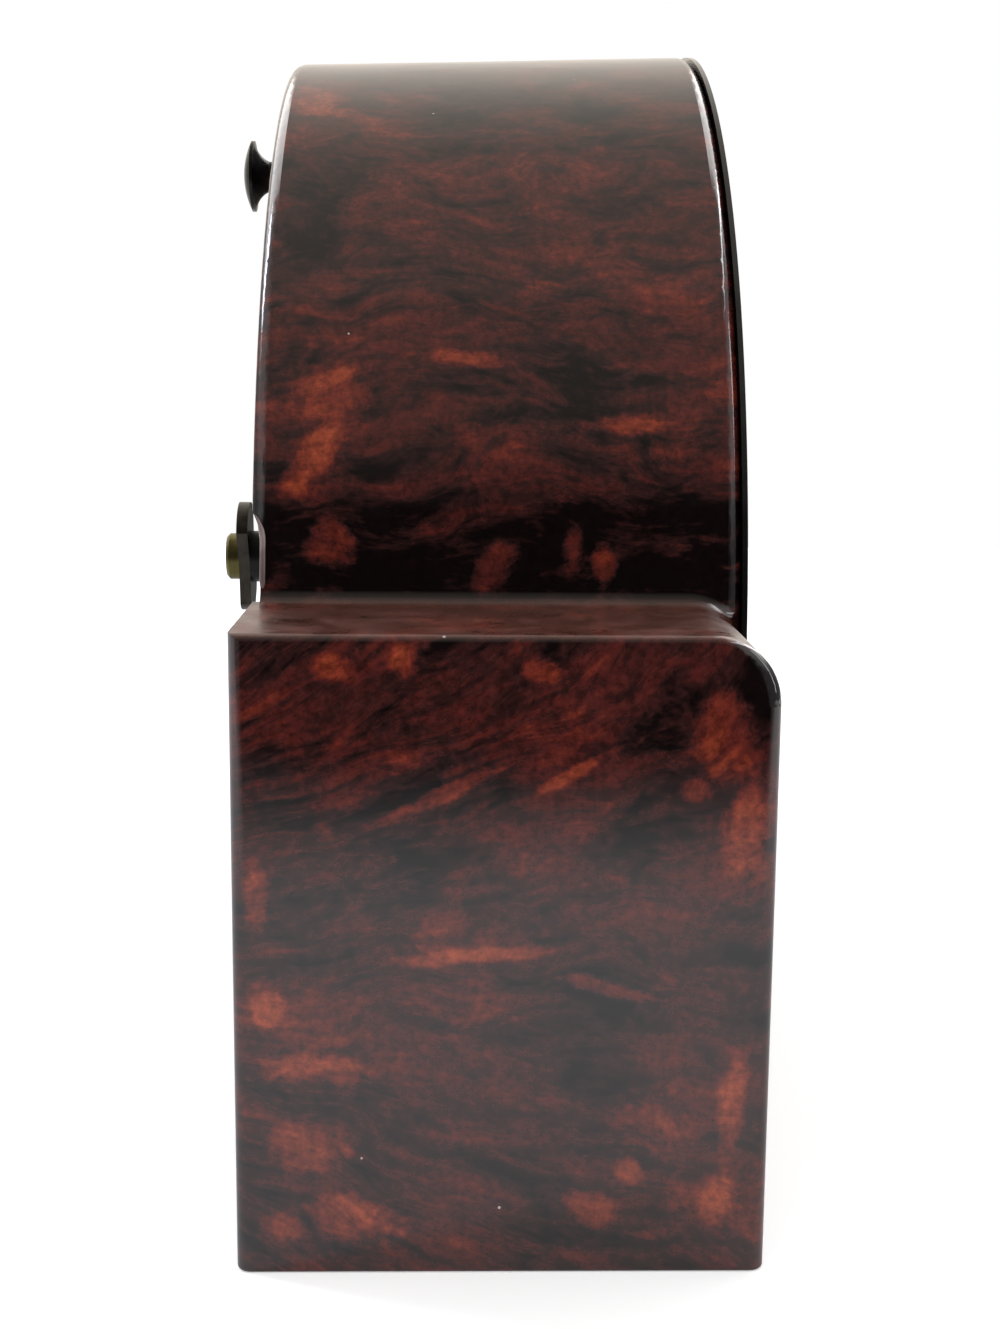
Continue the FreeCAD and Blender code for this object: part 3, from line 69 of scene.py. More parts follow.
# Largest rust patches on the left side: y, z, half length and half width in mm, lean in degrees
PATCHES = [
    (27, 146, 4.5, 2.6, 10), (22, 104, 4.8, 3.8, 20), (24, 97, 6.0, 2.4, -55),
    (22, 86, 3.0, 3.0, 0), (1, 83, 2.2, 3.4, 30), (-9, 86, 1.6, 3.0, 0), (-13, 83, 1.5, 2.6, 0),
    (-25, 66, 3.8, 5.0, 0), (-28, 55, 2.4, 7.0, 0), (-27.5, 22, 1.6, 8.0, 8),
    (-26, 10, 2.0, 4.0, 20), (-10.5, 8.5, 3.6, 2.2, 35), (-15, 13, 2.0, 1.6, 35),
    (18, 7, 5.4, 3.0, 15), (26, 6, 3.0, 2.2, 0), (23, 16, 6.0, 3.0, 5), (22, 26, 6.5, 2.0, 4),
    (28, 34, 2.4, 3.0, 0), (29, 47, 1.5, 4.0, 0), (3, 40, 9.0, 1.0, -4), (8, 59, 7.0, 1.0, -24),
    (-8, 62, 5.0, 0.8, -30), (-12, 36, 6.0, 0.9, 16), (20, 74, 2.2, 1.6, 0),
    (12, 75, 1.6, 2.0, 0), (-4, 74, 2.0, 1.4, 0), (-22, 60, 2.0, 1.5, 0), (4, 109, 6.0, 1.0, 5),
    (-16, 101, 5.0, 1.1, 0)]

# How far each layer of the case's mottle raises or lowers its tone; the layers at the dome's foot
# and under the ledge's edge lower it as painted shade
MOTTLE_WEIGHTS = {"streaks": 0.41, "flakes": 0.33, "clouds": 0.26, "foot": -0.085,
                  "brow_shade": -0.035, "spots": 0.07, "patches": 0.135}

# How light the room is that gloss sees, by degrees up from the camera's side: the floor is
# below 0, overhead is 90 and the far side 180
ROOM_LEVELS = [(-50, 0.95), (-38, 0.03), (24, 0.02), (42, 0.26), (66, 0.4), (70, 0.52),
               (108, 0.66), (140, 1.05)]
ROOM_WARMTH = (1, 0.92, 0.82)

WEARERS = {
    "phenolic_mottled_polished": "case_shell",
    "phenolic_black_polished": "front_panel",
    "phenolic_black_handled": "set_knob",
    "brass_spun_lacquered": "bezel_ring",
    "glass_clear_domed": "crystal",
    "brass_matt_gilt": "reveal_ring",
    "enamel_ivory_fired": "dial_plate",
    "stoved_enamel_brown": "back_cover",
    "stoved_enamel_black": "key_collar hour_hand minute_hand",
    "steel_turned_plain": "cover_screws movement_screws",
    "brass_rolled_plate": "front_plate rear_plate dial_feet",
    "brass_turned": "plate_pillars pillar_nuts front_bush rear_bush hairspring_stud "
                    "hairspring_collet hand_nut impulse_roller",
    "brass_cut_wheel": "great_wheel intermediate_wheel center_wheel third_wheel fourth_wheel "
                       "escape_wheel balance_wheel minute_wheel hour_wheel cannon_pinion "
                       "setting_pinion",
    "steel_hardened_arbor": "winding_arbor intermediate_arbor center_arbor third_arbor "
                            "fourth_arbor escape_arbor pallet_arbor balance_staff setting_arbor "
                            "minute_post click_rivet pallet_pins curb_pin",
    "steel_blanked_sheet": "ratchet_wheel click pallet_lever regulator_lever",
    "steel_tempered_blue": "mainspring hairspring click_spring",
    "nickel_painted_shade": "key_wings",
    "brass_browned_hub": "key_hub",
}


# ---------------------------------------------------------------- settings

class ClockSizes(bpy.types.PropertyGroup):
    """Sizes that a user would change."""
    foot_fillet: bpy.props.FloatProperty(
        name="Foot fillet", description="Hollow round where the dome meets the ledge",
        default=2.6 * MM, min=0.2 * MM, max=5 * MM, unit="LENGTH")
    numeral_height: bpy.props.FloatProperty(
        name="Numeral height", description="Height of the hour numbers on the dial",
        default=7.4 * MM, min=3 * MM, max=10 * MM, unit="LENGTH")
    numeral_circle: bpy.props.FloatProperty(
        name="Numeral circle", description="Radius of the circle that the hour numbers stand on",
        default=29.3 * MM, min=20 * MM, max=32 * MM, unit="LENGTH")
    track_radius: bpy.props.FloatProperty(
        name="Minute track", description="Outer radius of the minute track",
        default=37.2 * MM, min=30 * MM, max=38 * MM, unit="LENGTH")
    streak_length: bpy.props.FloatProperty(
        name="Streak length", description="How far a streak in the moulded case runs",
        default=15 * MM, min=5 * MM, max=80 * MM, unit="LENGTH")
    streak_width: bpy.props.FloatProperty(
        name="Streak width", description="How wide a streak in the moulded case is",
        default=3.4 * MM, min=1 * MM, max=20 * MM, unit="LENGTH")


def hex_to_linear(text):
    """An sRGB hex colour as the linear values that shaders take."""
    parts = [int(text[i:i + 2], 16) / 255 for i in (1, 3, 5)]
    return tuple(c / 12.92 if c <= 0.04045 else ((c + 0.055) / 1.055) ** 2.4 for c in parts)


def colour_property(name, description, text):
    return bpy.props.FloatVectorProperty(
        name=name, description=description, default=hex_to_linear(text), min=0, max=1,
        size=3, subtype="COLOR")


class ClockColours(bpy.types.PropertyGroup):
    """Colours that a user would change."""
    ground: colour_property("Case ground", "Darkest brown of the moulded case", "#0b0405")
    brown: colour_property("Case brown", "Purple brown of the moulded case", "#2a1413")
    red: colour_property("Case red", "Red brown of the streaks", "#451a17")
    rust: colour_property("Case rust", "Rust of the stronger streaks and patches", "#62251a")
    orange: colour_property("Case orange", "Heart of the largest patches", "#843822")
    enamel: colour_property("Dial enamel", "Ivory of the dial", "#e6dcc0")
    brass: colour_property("Brass", "Lacquered brass of the bezel and movement", "#c9a45a")


# ---------------------------------------------------------------- materials

def feed(node, inputs):
    """Give a node's inputs, by name or number, a value each or another node's output."""
    for key, value in inputs.items():
        if isinstance(value, bpy.types.NodeSocket):
            node.id_data.links.new(value, node.inputs[key])
        else:
            node.inputs[key].default_value = value


def add_node(tree, kind, inputs=(), out=0, **settings):
    """Add one shader node, its inputs in order or by name or number; hands back one output."""
    node = tree.nodes.new("ShaderNode" + kind)
    for name, value in settings.items():
        setattr(node, name, value)
    feed(node, inputs if isinstance(inputs, dict) else dict(enumerate(inputs)))
    return node.outputs[out]


# settings that many nodes share
SMOOTH = {"interpolation_type": "SMOOTHSTEP"}
BLEND = {"out": 2, "data_type": "RGBA"}
TIMES = {"operation": "MULTIPLY"}
TIMES_PLUS = {"operation": "MULTIPLY_ADD"}
LESS = {"operation": "SUBTRACT"}


def start_material(name, **shader):
    """A new material: its own add_node, its shader with some sockets fed, and the place on it."""
    material = bpy.data.materials.new(name)
    material.use_nodes = True
    add = functools.partial(add_node, material.node_tree)
    surface = material.node_tree.nodes["Principled BSDF"]
    feed(surface, shader)
    return add, surface, add("TexCoord", out="Object")


def end_material(add, surface, tone, roughness, height, depth_mm):
    """Feed a material's shader its colour, its roughness and a relief of a depth."""
    relief = add("Bump", {"Height": height, "Distance": depth_mm * MM}, "Normal")
    feed(surface, {"Base Color": tone, "Roughness": roughness, "Normal": relief})


def grain(add, place, size_mm, detail=4, roughness=0.55, stretch=(1, 1, 1), distortion=0):
    """Noise whose lumps are about size_mm across, on object coordinates in metres."""
    return add("TexNoise", {"Vector": add("VectorMath", (place, stretch), **TIMES),
                            "Scale": 1 / (size_mm * MM), "Detail": detail,
                            "Roughness": roughness, "Distortion": distortion}, "Fac")


def fill_ramp(output, stops):
    """Set the colours of an added ramp: (position, linear colour) from one end to the other."""
    elements = output.node.color_ramp.elements
    while len(elements) < len(stops):
        elements.new(0.5)
    for element, (position, colour) in zip(elements, stops):
        element.position = position
        element.color = opaque(colour)


def opaque(colour):
    return (*colour, 1)


def powder_flow(add, place, axes):
    """Places on the case as the moulding powders flowed there, bent by slow swirls."""
    # The powders flowed from the rear of the base to its front, so the streaks there fan out
    # towards the front. Round the dome they lie level.
    fan_height, fan_point = 36 * MM, 88 * MM
    ahead = add("Math", (fan_point, axes["Y"]), **LESS)
    rise = add("Math", (axes["Z"], fan_height), **LESS)
    fanned = add("Math", (add("Math", (rise, fan_point), **TIMES), ahead), operation="DIVIDE")
    on_dome = add("Math", (axes["Z"], LEDGE + 0.3 * MM), operation="GREATER_THAN")
    level = add("Mix", {0: on_dome, 2: fanned, 3: axes["Z"]})
    flow = add("CombineXYZ", (axes["X"], axes["Y"], level))
    # swirls about 30 mm across bend every layer of the mottle by up to 6 mm each way
    swirl = grain(add, place, 30, detail=2).node.outputs["Color"]
    swirl = add("VectorMath", (swirl, (0.5, 0.5, 0.5)), **LESS)
    swirl = add("VectorMath", {0: swirl, "Scale": 12 * MM}, operation="SCALE")
    return add("VectorMath", (flow, swirl), operation="ADD")


def placed_patches(add, place, axes):
    """Where the largest rust patches lie on the left side, with ragged edges."""
    near = None
    for y, z, long, wide, lean in PATCHES:
        off = add("Mapping", {"Vector": place, "Location": (0, y * MM, z * MM),
                              "Rotation": (math.radians(lean), 0, 0),
                              "Scale": (1, long * MM, wide * MM)}, vector_type="TEXTURE")
        flat = add("VectorMath", (off, (0, 1, 1)), **TIMES)
        far = add("VectorMath", (flat,), "Value", operation="LENGTH")
        near = add("Math", (near, far), operation="MINIMUM") if near else far
    ragged = grain(add, place, 4.5, 8, 0.68)
    edge = add("MapRange", (add("Math", (ragged, 2.2, near), **TIMES_PLUS), 2.45, 1.6), **SMOOTH)
    left_side = add("Math", (axes["X"], 0.0), operation="LESS_THAN")
    return add("Math", (edge, left_side), **TIMES)


def mottled_phenolic(sizes, colours):
    """Phenolic moulded from mixed powders, polished: dark flowing mottle under a mirror gloss."""
    add, surface, place = start_material("phenolic_mottled_polished", IOR=1.6)
    axes = add("SeparateXYZ", (place,)).node.outputs
    bent = powder_flow(add, place, axes)
    squeeze = sizes.streak_width / sizes.streak_length
    # painted shade: a dark band along the dome's foot, partly the moulding's own darker tone, and
    # a dark band under the ledge's edge
    off_shaded_foot = add("Math", (add("Math", (axes["Z"], LEDGE + 7 * MM), **LESS),),
                   operation="ABSOLUTE")
    brow_shade = add("MapRange", (axes["Z"], 62 * MM, 74 * MM), **SMOOTH)
    brow_end = add("MapRange", (axes["Z"], 80 * MM, 76 * MM), **SMOOTH)
    # rust spots 2 to 12 mm across lie in the flow
    spots = grain(add, bent, 8, 7, 0.7, (0.55, 0.55, 1), 0.6)
    layers = {
        "streaks": grain(add, bent, sizes.streak_width / MM, 8, 0.68, (squeeze, squeeze, 1), 0.4),
        "flakes": grain(add, bent, 4.2, 8, 0.72, (0.5, 0.5, 1), 0.9),
        "clouds": grain(add, bent, 19, 3, 0.5),
        # the layers at the dome's foot and under the ledge's edge are painted shade
        "foot": add("MapRange", (off_shaded_foot, 9 * MM, 4 * MM), **SMOOTH),
        "brow_shade": add("Math", (brow_shade, brow_end), **TIMES),
        "spots": add("MapRange", (spots, 0.58, 0.7), **SMOOTH),
        "patches": placed_patches(add, place, axes),
    }
    depth = 0.0
    for name, weight in MOTTLE_WEIGHTS.items():
        depth = add("Math", (layers[name], weight, depth), **TIMES_PLUS)
    body = add("ValToRGB", (depth,))
    fill_ramp(body, [(0.43, colours.ground), (0.48, colours.brown), (0.54, colours.red),
                     (0.61, colours.rust), (0.7, colours.orange)])
    # powder grains about 1 mm across vary every tone
    powder = add("MapRange", (grain(add, place, 1.1, 3, 0.7), 0.3, 0.7, 0.55, 1.45))
    body = add("Mix", {0: 1.0, 6: body, 7: powder}, blend_type="MULTIPLY", **BLEND)
    # a few pale specks 0.4 mm across, one in some 9 mm
    away = add("TexVoronoi", {"Vector": place, "Scale": 1 / (9 * MM)}, "Distance")
    speck = add("Math", (away, 0.021), operation="LESS_THAN")
    speck = add("Math", (speck, 0.75), **TIMES)
    body = add("Mix", {0: speck, 6: body, 7: opaque(hex_to_linear("#c4bcba"))}, **BLEND)
    polish = add("MapRange", (grain(add, place, 9), 0.35, 0.7, 0.05, 0.13))
    # upward faces lower than 4 mm above the ledge get a duller gloss and a paler, redder tone
    upward = add("SeparateXYZ", (add("NewGeometry", out="Normal"),), "Z")
    upward = add("MapRange", (upward, 0.45, 0.95), **SMOOTH)
    low = add("Math", (axes["Z"], LEDGE + 4 * MM), operation="LESS_THAN")
    upward_low = add("Math", (upward, low), **TIMES)
    film = add("Math", (upward_low, grain(add, place, 5, 5, 0.7)), **TIMES)
    polish = add("Math", (film, 0.5, polish), **TIMES_PLUS)
    film = add("Math", (film, 0.36), **TIMES)
    body = add("Mix", {0: film, 6: body, 7: opaque(hex_to_linear("#934c34"))}, **BLEND)
    # the moulding's slight waviness, 8 mm across and 0.02 mm deep
    end_material(add, surface, body, polish, grain(add, place, 8, 2), 0.02)


def metal_finish(name, colour, roughness, grain_mm, stretch=(1, 1, 1), depth_mm=0.004,
                 tarnish=None):
    """Metal with a fine grain from its making, and a slow change of tone from handling."""
    add, surface, place = start_material(name, Metallic=1.0)
    lines = grain(add, place, grain_mm, 5, 0.6, stretch)
    handled = add("MapRange", (grain(add, place, 6, 3), 0.42, 0.72), **SMOOTH)
    dull = tarnish or tuple(c * 0.62 for c in colour)
    tone = add("Mix", {0: handled, 6: opaque(colour), 7: opaque(dull)}, **BLEND)
    shade = add("MapRange", (lines, 0, 1, 0.82, 1.12))
    tone = add("Mix", {0: 1.0, 6: tone, 7: shade}, blend_type="MULTIPLY", **BLEND)
    rough = add("MapRange", (lines, 0, 1, roughness * 0.8, roughness * 1.3))
    end_material(add, surface, tone, rough, lines, depth_mm)


def painted_finish(name, colour, roughness, lump_mm, depth_mm, second=None, ior=1.5):
    """Paint, enamel or plain moulding: an even coat with a faint orange peel and worn tone."""
    add, surface, place = start_material(name, IOR=ior)
    cloud = grain(add, place, 8, 4, 0.6)
    worn = add("MapRange", (cloud, 0.4, 0.75), **SMOOTH)
    other = second or tuple(min(1, c * 1.5 + 0.003) for c in colour)
    tone = add("Mix", {0: worn, 6: opaque(colour), 7: opaque(other)}, **BLEND)
    rough = add("MapRange", (cloud, 0, 1, roughness * 0.75, roughness * 1.35))
    end_material(add, surface, tone, rough, grain(add, place, lump_mm, 3), depth_mm)


def domed_glass():
    """Pressed and polished clear glass: sharp reflections, and a faint waviness."""
    add, surface, place = start_material("glass_clear_domed", IOR=1.5)
    feed(surface, {"Transmission Weight": 1.0})
    tone = add("Mix", {0: grain(add, place, 30, 2), 6: opaque(hex_to_linear("#fbfdfa")),
                       7: opaque(hex_to_linear("#f3f8f3"))}, **BLEND)
    end_material(add, surface, tone, 0.02, grain(add, place, 22, 1), 0.004)


def material_named(name):
    found = bpy.data.materials.get(name)
    if found is None:
        raise RuntimeError(f"the finishes have to be made before {name} is used")
    return found


def dress(node, material):
    """Give a carried-over CAD node its finished material."""
    slots = NODES[node].material_slots
    for slot in slots:
        slot.material = material
    if not slots:
        NODES[node].data.materials.append(material)


class CLOCK_OT_finishes(bpy.types.Operator):
    """Make the materials, and give every CAD node of the clock its own"""
    bl_idname = "clock.finishes"
    bl_label = "Finishes"

    def execute(self, context):
        sizes, colours = context.scene.clock_sizes, context.scene.clock_colours
        brass = tuple(colours.brass)
        mottled_phenolic(sizes, colours)
        # black phenolic, moulded and polished: near-black with a wet gloss
        painted_finish("phenolic_black_polished", hex_to_linear("#0c0a0a"), 0.1, 3, 0.006,
                       ior=1.6)
        # black phenolic worn by fingers: brown shows through and the gloss is uneven
        painted_finish("phenolic_black_handled", hex_to_linear("#090808"), 0.26, 1.2, 0.012,
                       hex_to_linear("#1a1412"), 1.3)
        # spun brass under lacquer: fine grain and a warm, slightly dulled gloss
        metal_finish("brass_spun_lacquered", brass, 0.2, 0.5, depth_mm=0.002)
        # matt gilt: etched before gilding, so it scatters light
        metal_finish("brass_matt_gilt", hex_to_linear("#d8b871"), 0.45, 0.3, depth_mm=0.01)
        # vitreous enamel: ivory with a soft gloss and faint clouding
        painted_finish("enamel_ivory_fired", tuple(colours.enamel), 0.25, 2.5, 0.01,
                       hex_to_linear("#dccfae"), 1.5)
        # printed enamel ink: dense black, less glossy than the dial
        painted_finish("ink_black_fired", hex_to_linear("#15130f"), 0.35, 0.5, 0.002)
        # stoved enamel on sheet steel: dark brown with an orange peel of about 1 mm
        painted_finish("stoved_enamel_brown", hex_to_linear("#1b1513"), 0.38, 0.9, 0.012,
                       hex_to_linear("#2b211c"))
        # black stoved enamel of the key's collar: soft sheen, worn to brown at touch
        painted_finish("stoved_enamel_black", hex_to_linear("#0f0d0d"), 0.34, 0.7, 0.01,
                       hex_to_linear("#191513"), 1.3)
        # pale edge of the finger notch: a painted highlight for the rounded edge's reflection of
        # the bright rear, lighter in patches
        painted_finish("phenolic_painted_highlight", hex_to_linear("#5d4a47"), 0.3, 0.6, 0.02,
                       hex_to_linear("#857571"), 1.6)
        # cream paint stamped on the cover: thin, dull and rubbed
        painted_finish("paint_cream_stamped", hex_to_linear("#b3a581"), 0.6, 0.6, 0.004,
                       hex_to_linear("#8d7f60"))
        # plain steel screws: turned heads, faint oxide
        metal_finish("steel_turned_plain", hex_to_linear("#8b8b8d"), 0.3, 0.25,
                     tarnish=hex_to_linear("#5d5853"))
        # rolled brass plate: straight grain left by the rolls
        metal_finish("brass_rolled_plate", brass, 0.3, 0.35, (0.08, 1, 1))
        # bar brass turned on the lathe: fine grain round each piece, bright
        metal_finish("brass_turned", hex_to_linear("#cdab62"), 0.22, 0.3, (1, 3, 1))
        # cut wheels: brass sheet with a stoned face
        metal_finish("brass_cut_wheel", hex_to_linear("#caa862"), 0.26, 0.25, (1, 1, 0.3))
        # hardened arbors: grey, finely turned and burnished
        metal_finish("steel_hardened_arbor", hex_to_linear("#97979b"), 0.18, 0.2, (1, 4, 1))
        # blanked sheet steel, one face polished
        metal_finish("steel_blanked_sheet", hex_to_linear("#8e8e92"), 0.28, 0.3, (0.1, 1, 1))
        # tempered spring strip: blue-grey oxide over a rolled face
        metal_finish("steel_tempered_blue", hex_to_linear("#4d5668"), 0.25, 0.3, (1, 0.1, 1),
                     tarnish=hex_to_linear("#33343f"))
        # nickel plate of the key's wings: painted shade darkens it to grey-brown, as the wings
        # stand in shadow; darker in patches
        metal_finish("nickel_painted_shade", hex_to_linear("#433f39"), 0.36, 0.5,
                     tarnish=hex_to_linear("#1f1c19"), depth_mm=0.01)
        # old brass hub of the key: unlacquered, browned by handling
        metal_finish("brass_browned_hub", hex_to_linear("#67613a"), 0.4, 0.4,
                     tarnish=hex_to_linear("#463a22"), depth_mm=0.01)
        domed_glass()
        for name, nodes in WEARERS.items():
            for item in nodes.split():
                dress(item, material_named(name))
        return {"FINISHED"}


# ---------------------------------------------------------------- pieces

def finished_piece(name, bm, material, body):
    """Turn a bmesh into a piece of the clock that rides on its body."""
    bmesh.ops.remove_doubles(bm, verts=bm.verts, dist=0.001 * MM)
    bmesh.ops.recalc_face_normals(bm, faces=bm.faces)
    mesh = bpy.data.meshes.new(name)
    bm.to_mesh(mesh)
    bm.free()
    mesh.polygons.foreach_set("use_smooth", [True] * len(mesh.polygons))
    mesh.set_sharp_from_angle(angle=math.radians(35))
    mesh.materials.append(material_named(material))
    piece = bpy.data.objects.new(name, mesh)
    bpy.context.scene.collection.objects.link(piece)
    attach(piece, body)


def sweep(bm, sections):
    """Bridge a row of like sections, each a closed line of points, and cap both ends."""
    rings = []
    for section in sections:
        corners = [bm.verts.new(point) for point in section]
        rings.append([bm.edges.new(pair) for pair in zip(corners, corners[1:] + corners[:1])])
    for before, after in zip(rings, rings[1:]):
        bmesh.ops.bridge_loops(bm, edges=before + after)
    for ring in (rings[0], rings[-1]):
        bmesh.ops.edgeloop_fill(bm, edges=ring)


def on_both_sides(bm):
    """Copy what was made on the clock's left to its right."""
    bmesh.ops.mirror(bm, geom=bm.verts[:] + bm.edges[:] + bm.faces[:], axis="X", merge_dist=0)


def ledge_height(depth):
    """The ledge's top at a depth: it rounds down towards the front."""
    over = max(0.0, FRONT_ROUND - REAR - depth)
    return LEDGE - FRONT_ROUND + math.sqrt(FRONT_ROUND ** 2 - over ** 2)


def dome_centre(depth):
    """Height of the dome's middle line at a depth: the dome climbs a little to the front."""
    climb = DOME_CENTRE_FRONT - DOME_CENTRE_REAR
    return DOME_CENTRE_REAR + climb * (REAR - depth) / DOME_LENGTH


def fillet_section(depth, front, full):
    """The hollow round's section at a depth, closed inside the dome's wall and the ledge."""
    turns, sunk, into_wall = 12, 0.3 * MM, 1.0 * MM
    # the wall and the hollow both turn in at the dome's front rim
    turn_in = 1 - math.sqrt(1 - max(0.0, 1 - (depth - front) / RIM_ROUND) ** 2)
    size = full * (1 - 0.9 * turn_in)
    ground = ledge_height(depth)
    # the hollow leaves the wall at 0.85 of its own radius above the ledge, with the wall's lean
    lean = math.asin((ground + 0.85 * size - dome_centre(depth)) / DOME_RADIUS)
    middle = DOME_RADIUS * math.cos(lean) - RIM_ROUND * turn_in + size * math.cos(lean)
    angles = [lean + (math.pi / 2 - lean) * k / turns for k in range(turns + 1)]
    hollow = [(-middle + size * math.cos(angle), ground + size * (1 - math.sin(angle)))
              for angle in angles]
    inside, low = hollow[0][0] + into_wall, ground - sunk
    closing = [(hollow[-1][0], low), (inside, low), (inside, hollow[0][1])]
    return [(x, depth, z) for x, z in hollow + closing]


class CLOCK_OT_foot_fillets(bpy.types.Operator):
    """Lay the hollow rounds along both feet of the dome, where it grows out of the ledge"""
    bl_idname = "clock.foot_fillets"
    bl_label = "Dome foot fillets"

    def execute(self, context):
        full, stations = context.scene.clock_sizes.foot_fillet, 90
        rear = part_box("case_shell")[1].y - NOTCH_DEPTH
        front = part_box("front_panel")[1].y
        bm = bmesh.new()
        sweep(bm, [fillet_section(rear + (front - rear) * k / stations, front, full)
                   for k in range(stations + 1)])
        on_both_sides(bm)
        finished_piece("foot_fillets", bm, "phenolic_mottled_polished", "case")
        return {"FINISHED"}


class CLOCK_OT_notch_lips(bpy.types.Operator):
    """Round the edge of the finger notch at each foot of the dome, painted pale as a highlight"""
    bl_idname = "clock.notch_lips"
    bl_label = "Notch lips"

    def execute(self, context):
        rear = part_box("case_shell")[1].y
        steps, sides, bead, sunk = 28, 10, 0.42 * MM, 0.28 * MM
        start, height = LEDGE + 0.9 * MM, 10.3 * MM
        path = []
        for k in range(steps + 1):
            z = start + height * k / steps
            curved = max(0.0, z - LEDGE - NOTCH_STRAIGHT)
            y = rear - NOTCH_DEPTH + NOTCH_ROUND - math.sqrt(NOTCH_ROUND ** 2 - curved ** 2)
            x = -math.sqrt(DOME_RADIUS ** 2 - (z - dome_centre(y)) ** 2)
            path.append(Vector((x + sunk, y - sunk, z)))
        sections = []
        for k, spot in enumerate(path):
            along = (path[min(k + 1, steps)] - path[max(k - 1, 0)]).normalized()
            first = along.cross(Vector((1, 0, 0))).normalized()
            second = along.cross(first)
            # each lip runs out to almost nothing at both its ends
            thick = bead * min(1.0, 0.15 + 5 * min(k, steps - k) / steps)
            angles = [2 * math.pi * j / sides for j in range(sides)]
            sections.append([spot + thick * (first * math.cos(a) + second * math.sin(a))
                             for a in angles])
        bm = bmesh.new()
        sweep(bm, sections)
        on_both_sides(bm)
        finished_piece("notch_lips", bm, "phenolic_painted_highlight", "case")
        return {"FINISHED"}


class CLOCK_OT_dial_printing(bpy.types.Operator):
    """Print the hour numbers and the minute track on the enamelled dial"""
    bl_idname = "clock.dial_printing"
    bl_label = "Dial printing"

    def execute(self, context):
        sizes, ink = context.scene.clock_sizes, 0.03 * MM
        track, track_width, line = sizes.track_radius, 2.0 * MM, 0.22 * MM
        hour_mark, minute_mark = 0.75 * MM, 0.24 * MM
        bm = bmesh.new()
        for radius in (track, track - track_width):
            thin_ring(bm, radius, line, ink)
        for minute in range(60):
            wide = minute_mark if minute % 5 else hour_mark
            turn = Matrix.Rotation(math.radians(6 * minute), 4, "Z")
            place = turn @ Matrix.Translation((0, track - track_width / 2, 0))
            size = Matrix.Diagonal((wide, track_width, ink, 1))
            bmesh.ops.create_cube(bm, size=1, matrix=place @ size)
        for hour in range(1, 13):
            angle = math.radians(90 - 30 * hour)
            spot = Vector((math.cos(angle), math.sin(angle), 0)) * sizes.numeral_circle
            add_number(bm, str(hour), sizes.numeral_height, ink, spot)
        bmesh.ops.transform(bm, verts=bm.verts, matrix=Matrix.Rotation(math.pi / 2, 4, "X"))
        bmesh.ops.translate(bm, verts=bm.verts, vec=(0, DIAL_FACE - ink / 2, DIAL_Z))
        finished_piece("dial_printing", bm, "ink_black_fired", "case")
        return {"FINISHED"}


def thin_ring(bm, radius, width, ink):
    """A flat printed circle."""
    edges = set()
    for reach in (radius, radius - width):
        made = bmesh.ops.create_circle(bm, segments=180, radius=reach)["verts"]
        edges.update(edge for corner in made for edge in corner.link_edges)
    made = bmesh.ops.bridge_loops(bm, edges=list(edges))
    bmesh.ops.solidify(bm, geom=made["faces"], thickness=ink)


def add_number(bm, text, height, ink, spot):
    """One upright number, made a mesh and set on its spot."""
    body_share, narrowing = 1.36, 0.86  # the letter's body to its height, and its narrow cut
    curve = bpy.data.curves.new("number_" + text, "FONT")
    curve.body = text
    curve.size = height * body_share
    curve.align_x, curve.align_y = "CENTER", "CENTER"
    curve.extrude = ink / 2
    curve.resolution_u = 6
    letter = bpy.data.objects.new("number_" + text, curve)
    bpy.context.scene.collection.objects.link(letter)
    evaluated = letter.evaluated_get(bpy.context.evaluated_depsgraph_get())
    mesh = bpy.data.meshes.new_from_object(evaluated)
    before = set(bm.verts)
    bm.from_mesh(mesh)
    fresh = [corner for corner in bm.verts if corner not in before]
    bmesh.ops.scale(bm, verts=fresh, vec=(narrowing, 1, 1))
    bmesh.ops.translate(bm, verts=fresh, vec=spot)
    bpy.data.objects.remove(letter)
    bpy.data.curves.remove(curve)
    bpy.data.meshes.remove(mesh)


class CLOCK_OT_cover_marks(bpy.types.Operator):
    """Print the winding arrow round the key and the two-way setting arrow under the knob"""
    bl_idname = "clock.cover_marks"
    bl_label = "Cover arrows"

    def execute(self, context):
        paint, sunk = 0.06 * MM, 0.01 * MM
        bm = bmesh.new()
        key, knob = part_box("key_hub"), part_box("set_knob")
        add_arrow(bm, (key[0] + key[1]) / 2, 14.0 * MM, -55, 235, False)
        add_arrow(bm, (knob[0] + knob[1]) / 2, 10.5 * MM, -140, -40, True)
        grown = bmesh.ops.extrude_face_region(bm, geom=bm.faces[:])
        raised = [item for item in grown["geom"] if isinstance(item, bmesh.types.BMVert)]
        bmesh.ops.translate(bm, verts=raised, vec=(0, paint, 0))
        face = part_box("back_cover")[1].y
        bmesh.ops.translate(bm, verts=bm.verts, vec=(0, face - sunk, 0))
        finished_piece("cover_marks", bm, "paint_cream_stamped", "case")
        return {"FINISHED"}


def add_arrow(bm, middle, radius, start, end, both_ways):
    """A curved arrow 0.9 mm wide, in degrees anticlockwise as seen from the front."""
    width, head, steps = 0.9 * MM, 3.2 * MM, 48

    def spot(angle, reach):
        turn = math.radians(angle)
        return (middle.x + reach * math.cos(turn), 0, middle.z + reach * math.sin(turn))

    edge = bm.edges.new([bm.verts.new(spot(start, radius + side * width / 2))
                         for side in (-1, 1)])
    bmesh.ops.spin(bm, geom=edge.verts[:] + [edge], cent=middle, axis=(0, -1, 0),
                   angle=math.radians(end - start), steps=steps, use_merge=False,
                   use_duplicate=False)
    tips = [(end, 1), (start, -1)] if both_ways else [(end, 1)]
    for angle, way in tips:
        on = math.degrees(head / radius) * way
        corners = [spot(angle, radius - head / 2), spot(angle, radius + head / 2),
                   spot(angle + on, radius)]
        bm.faces.new([bm.verts.new(corner) for corner in corners])


# ---------------------------------------------------------------- stage

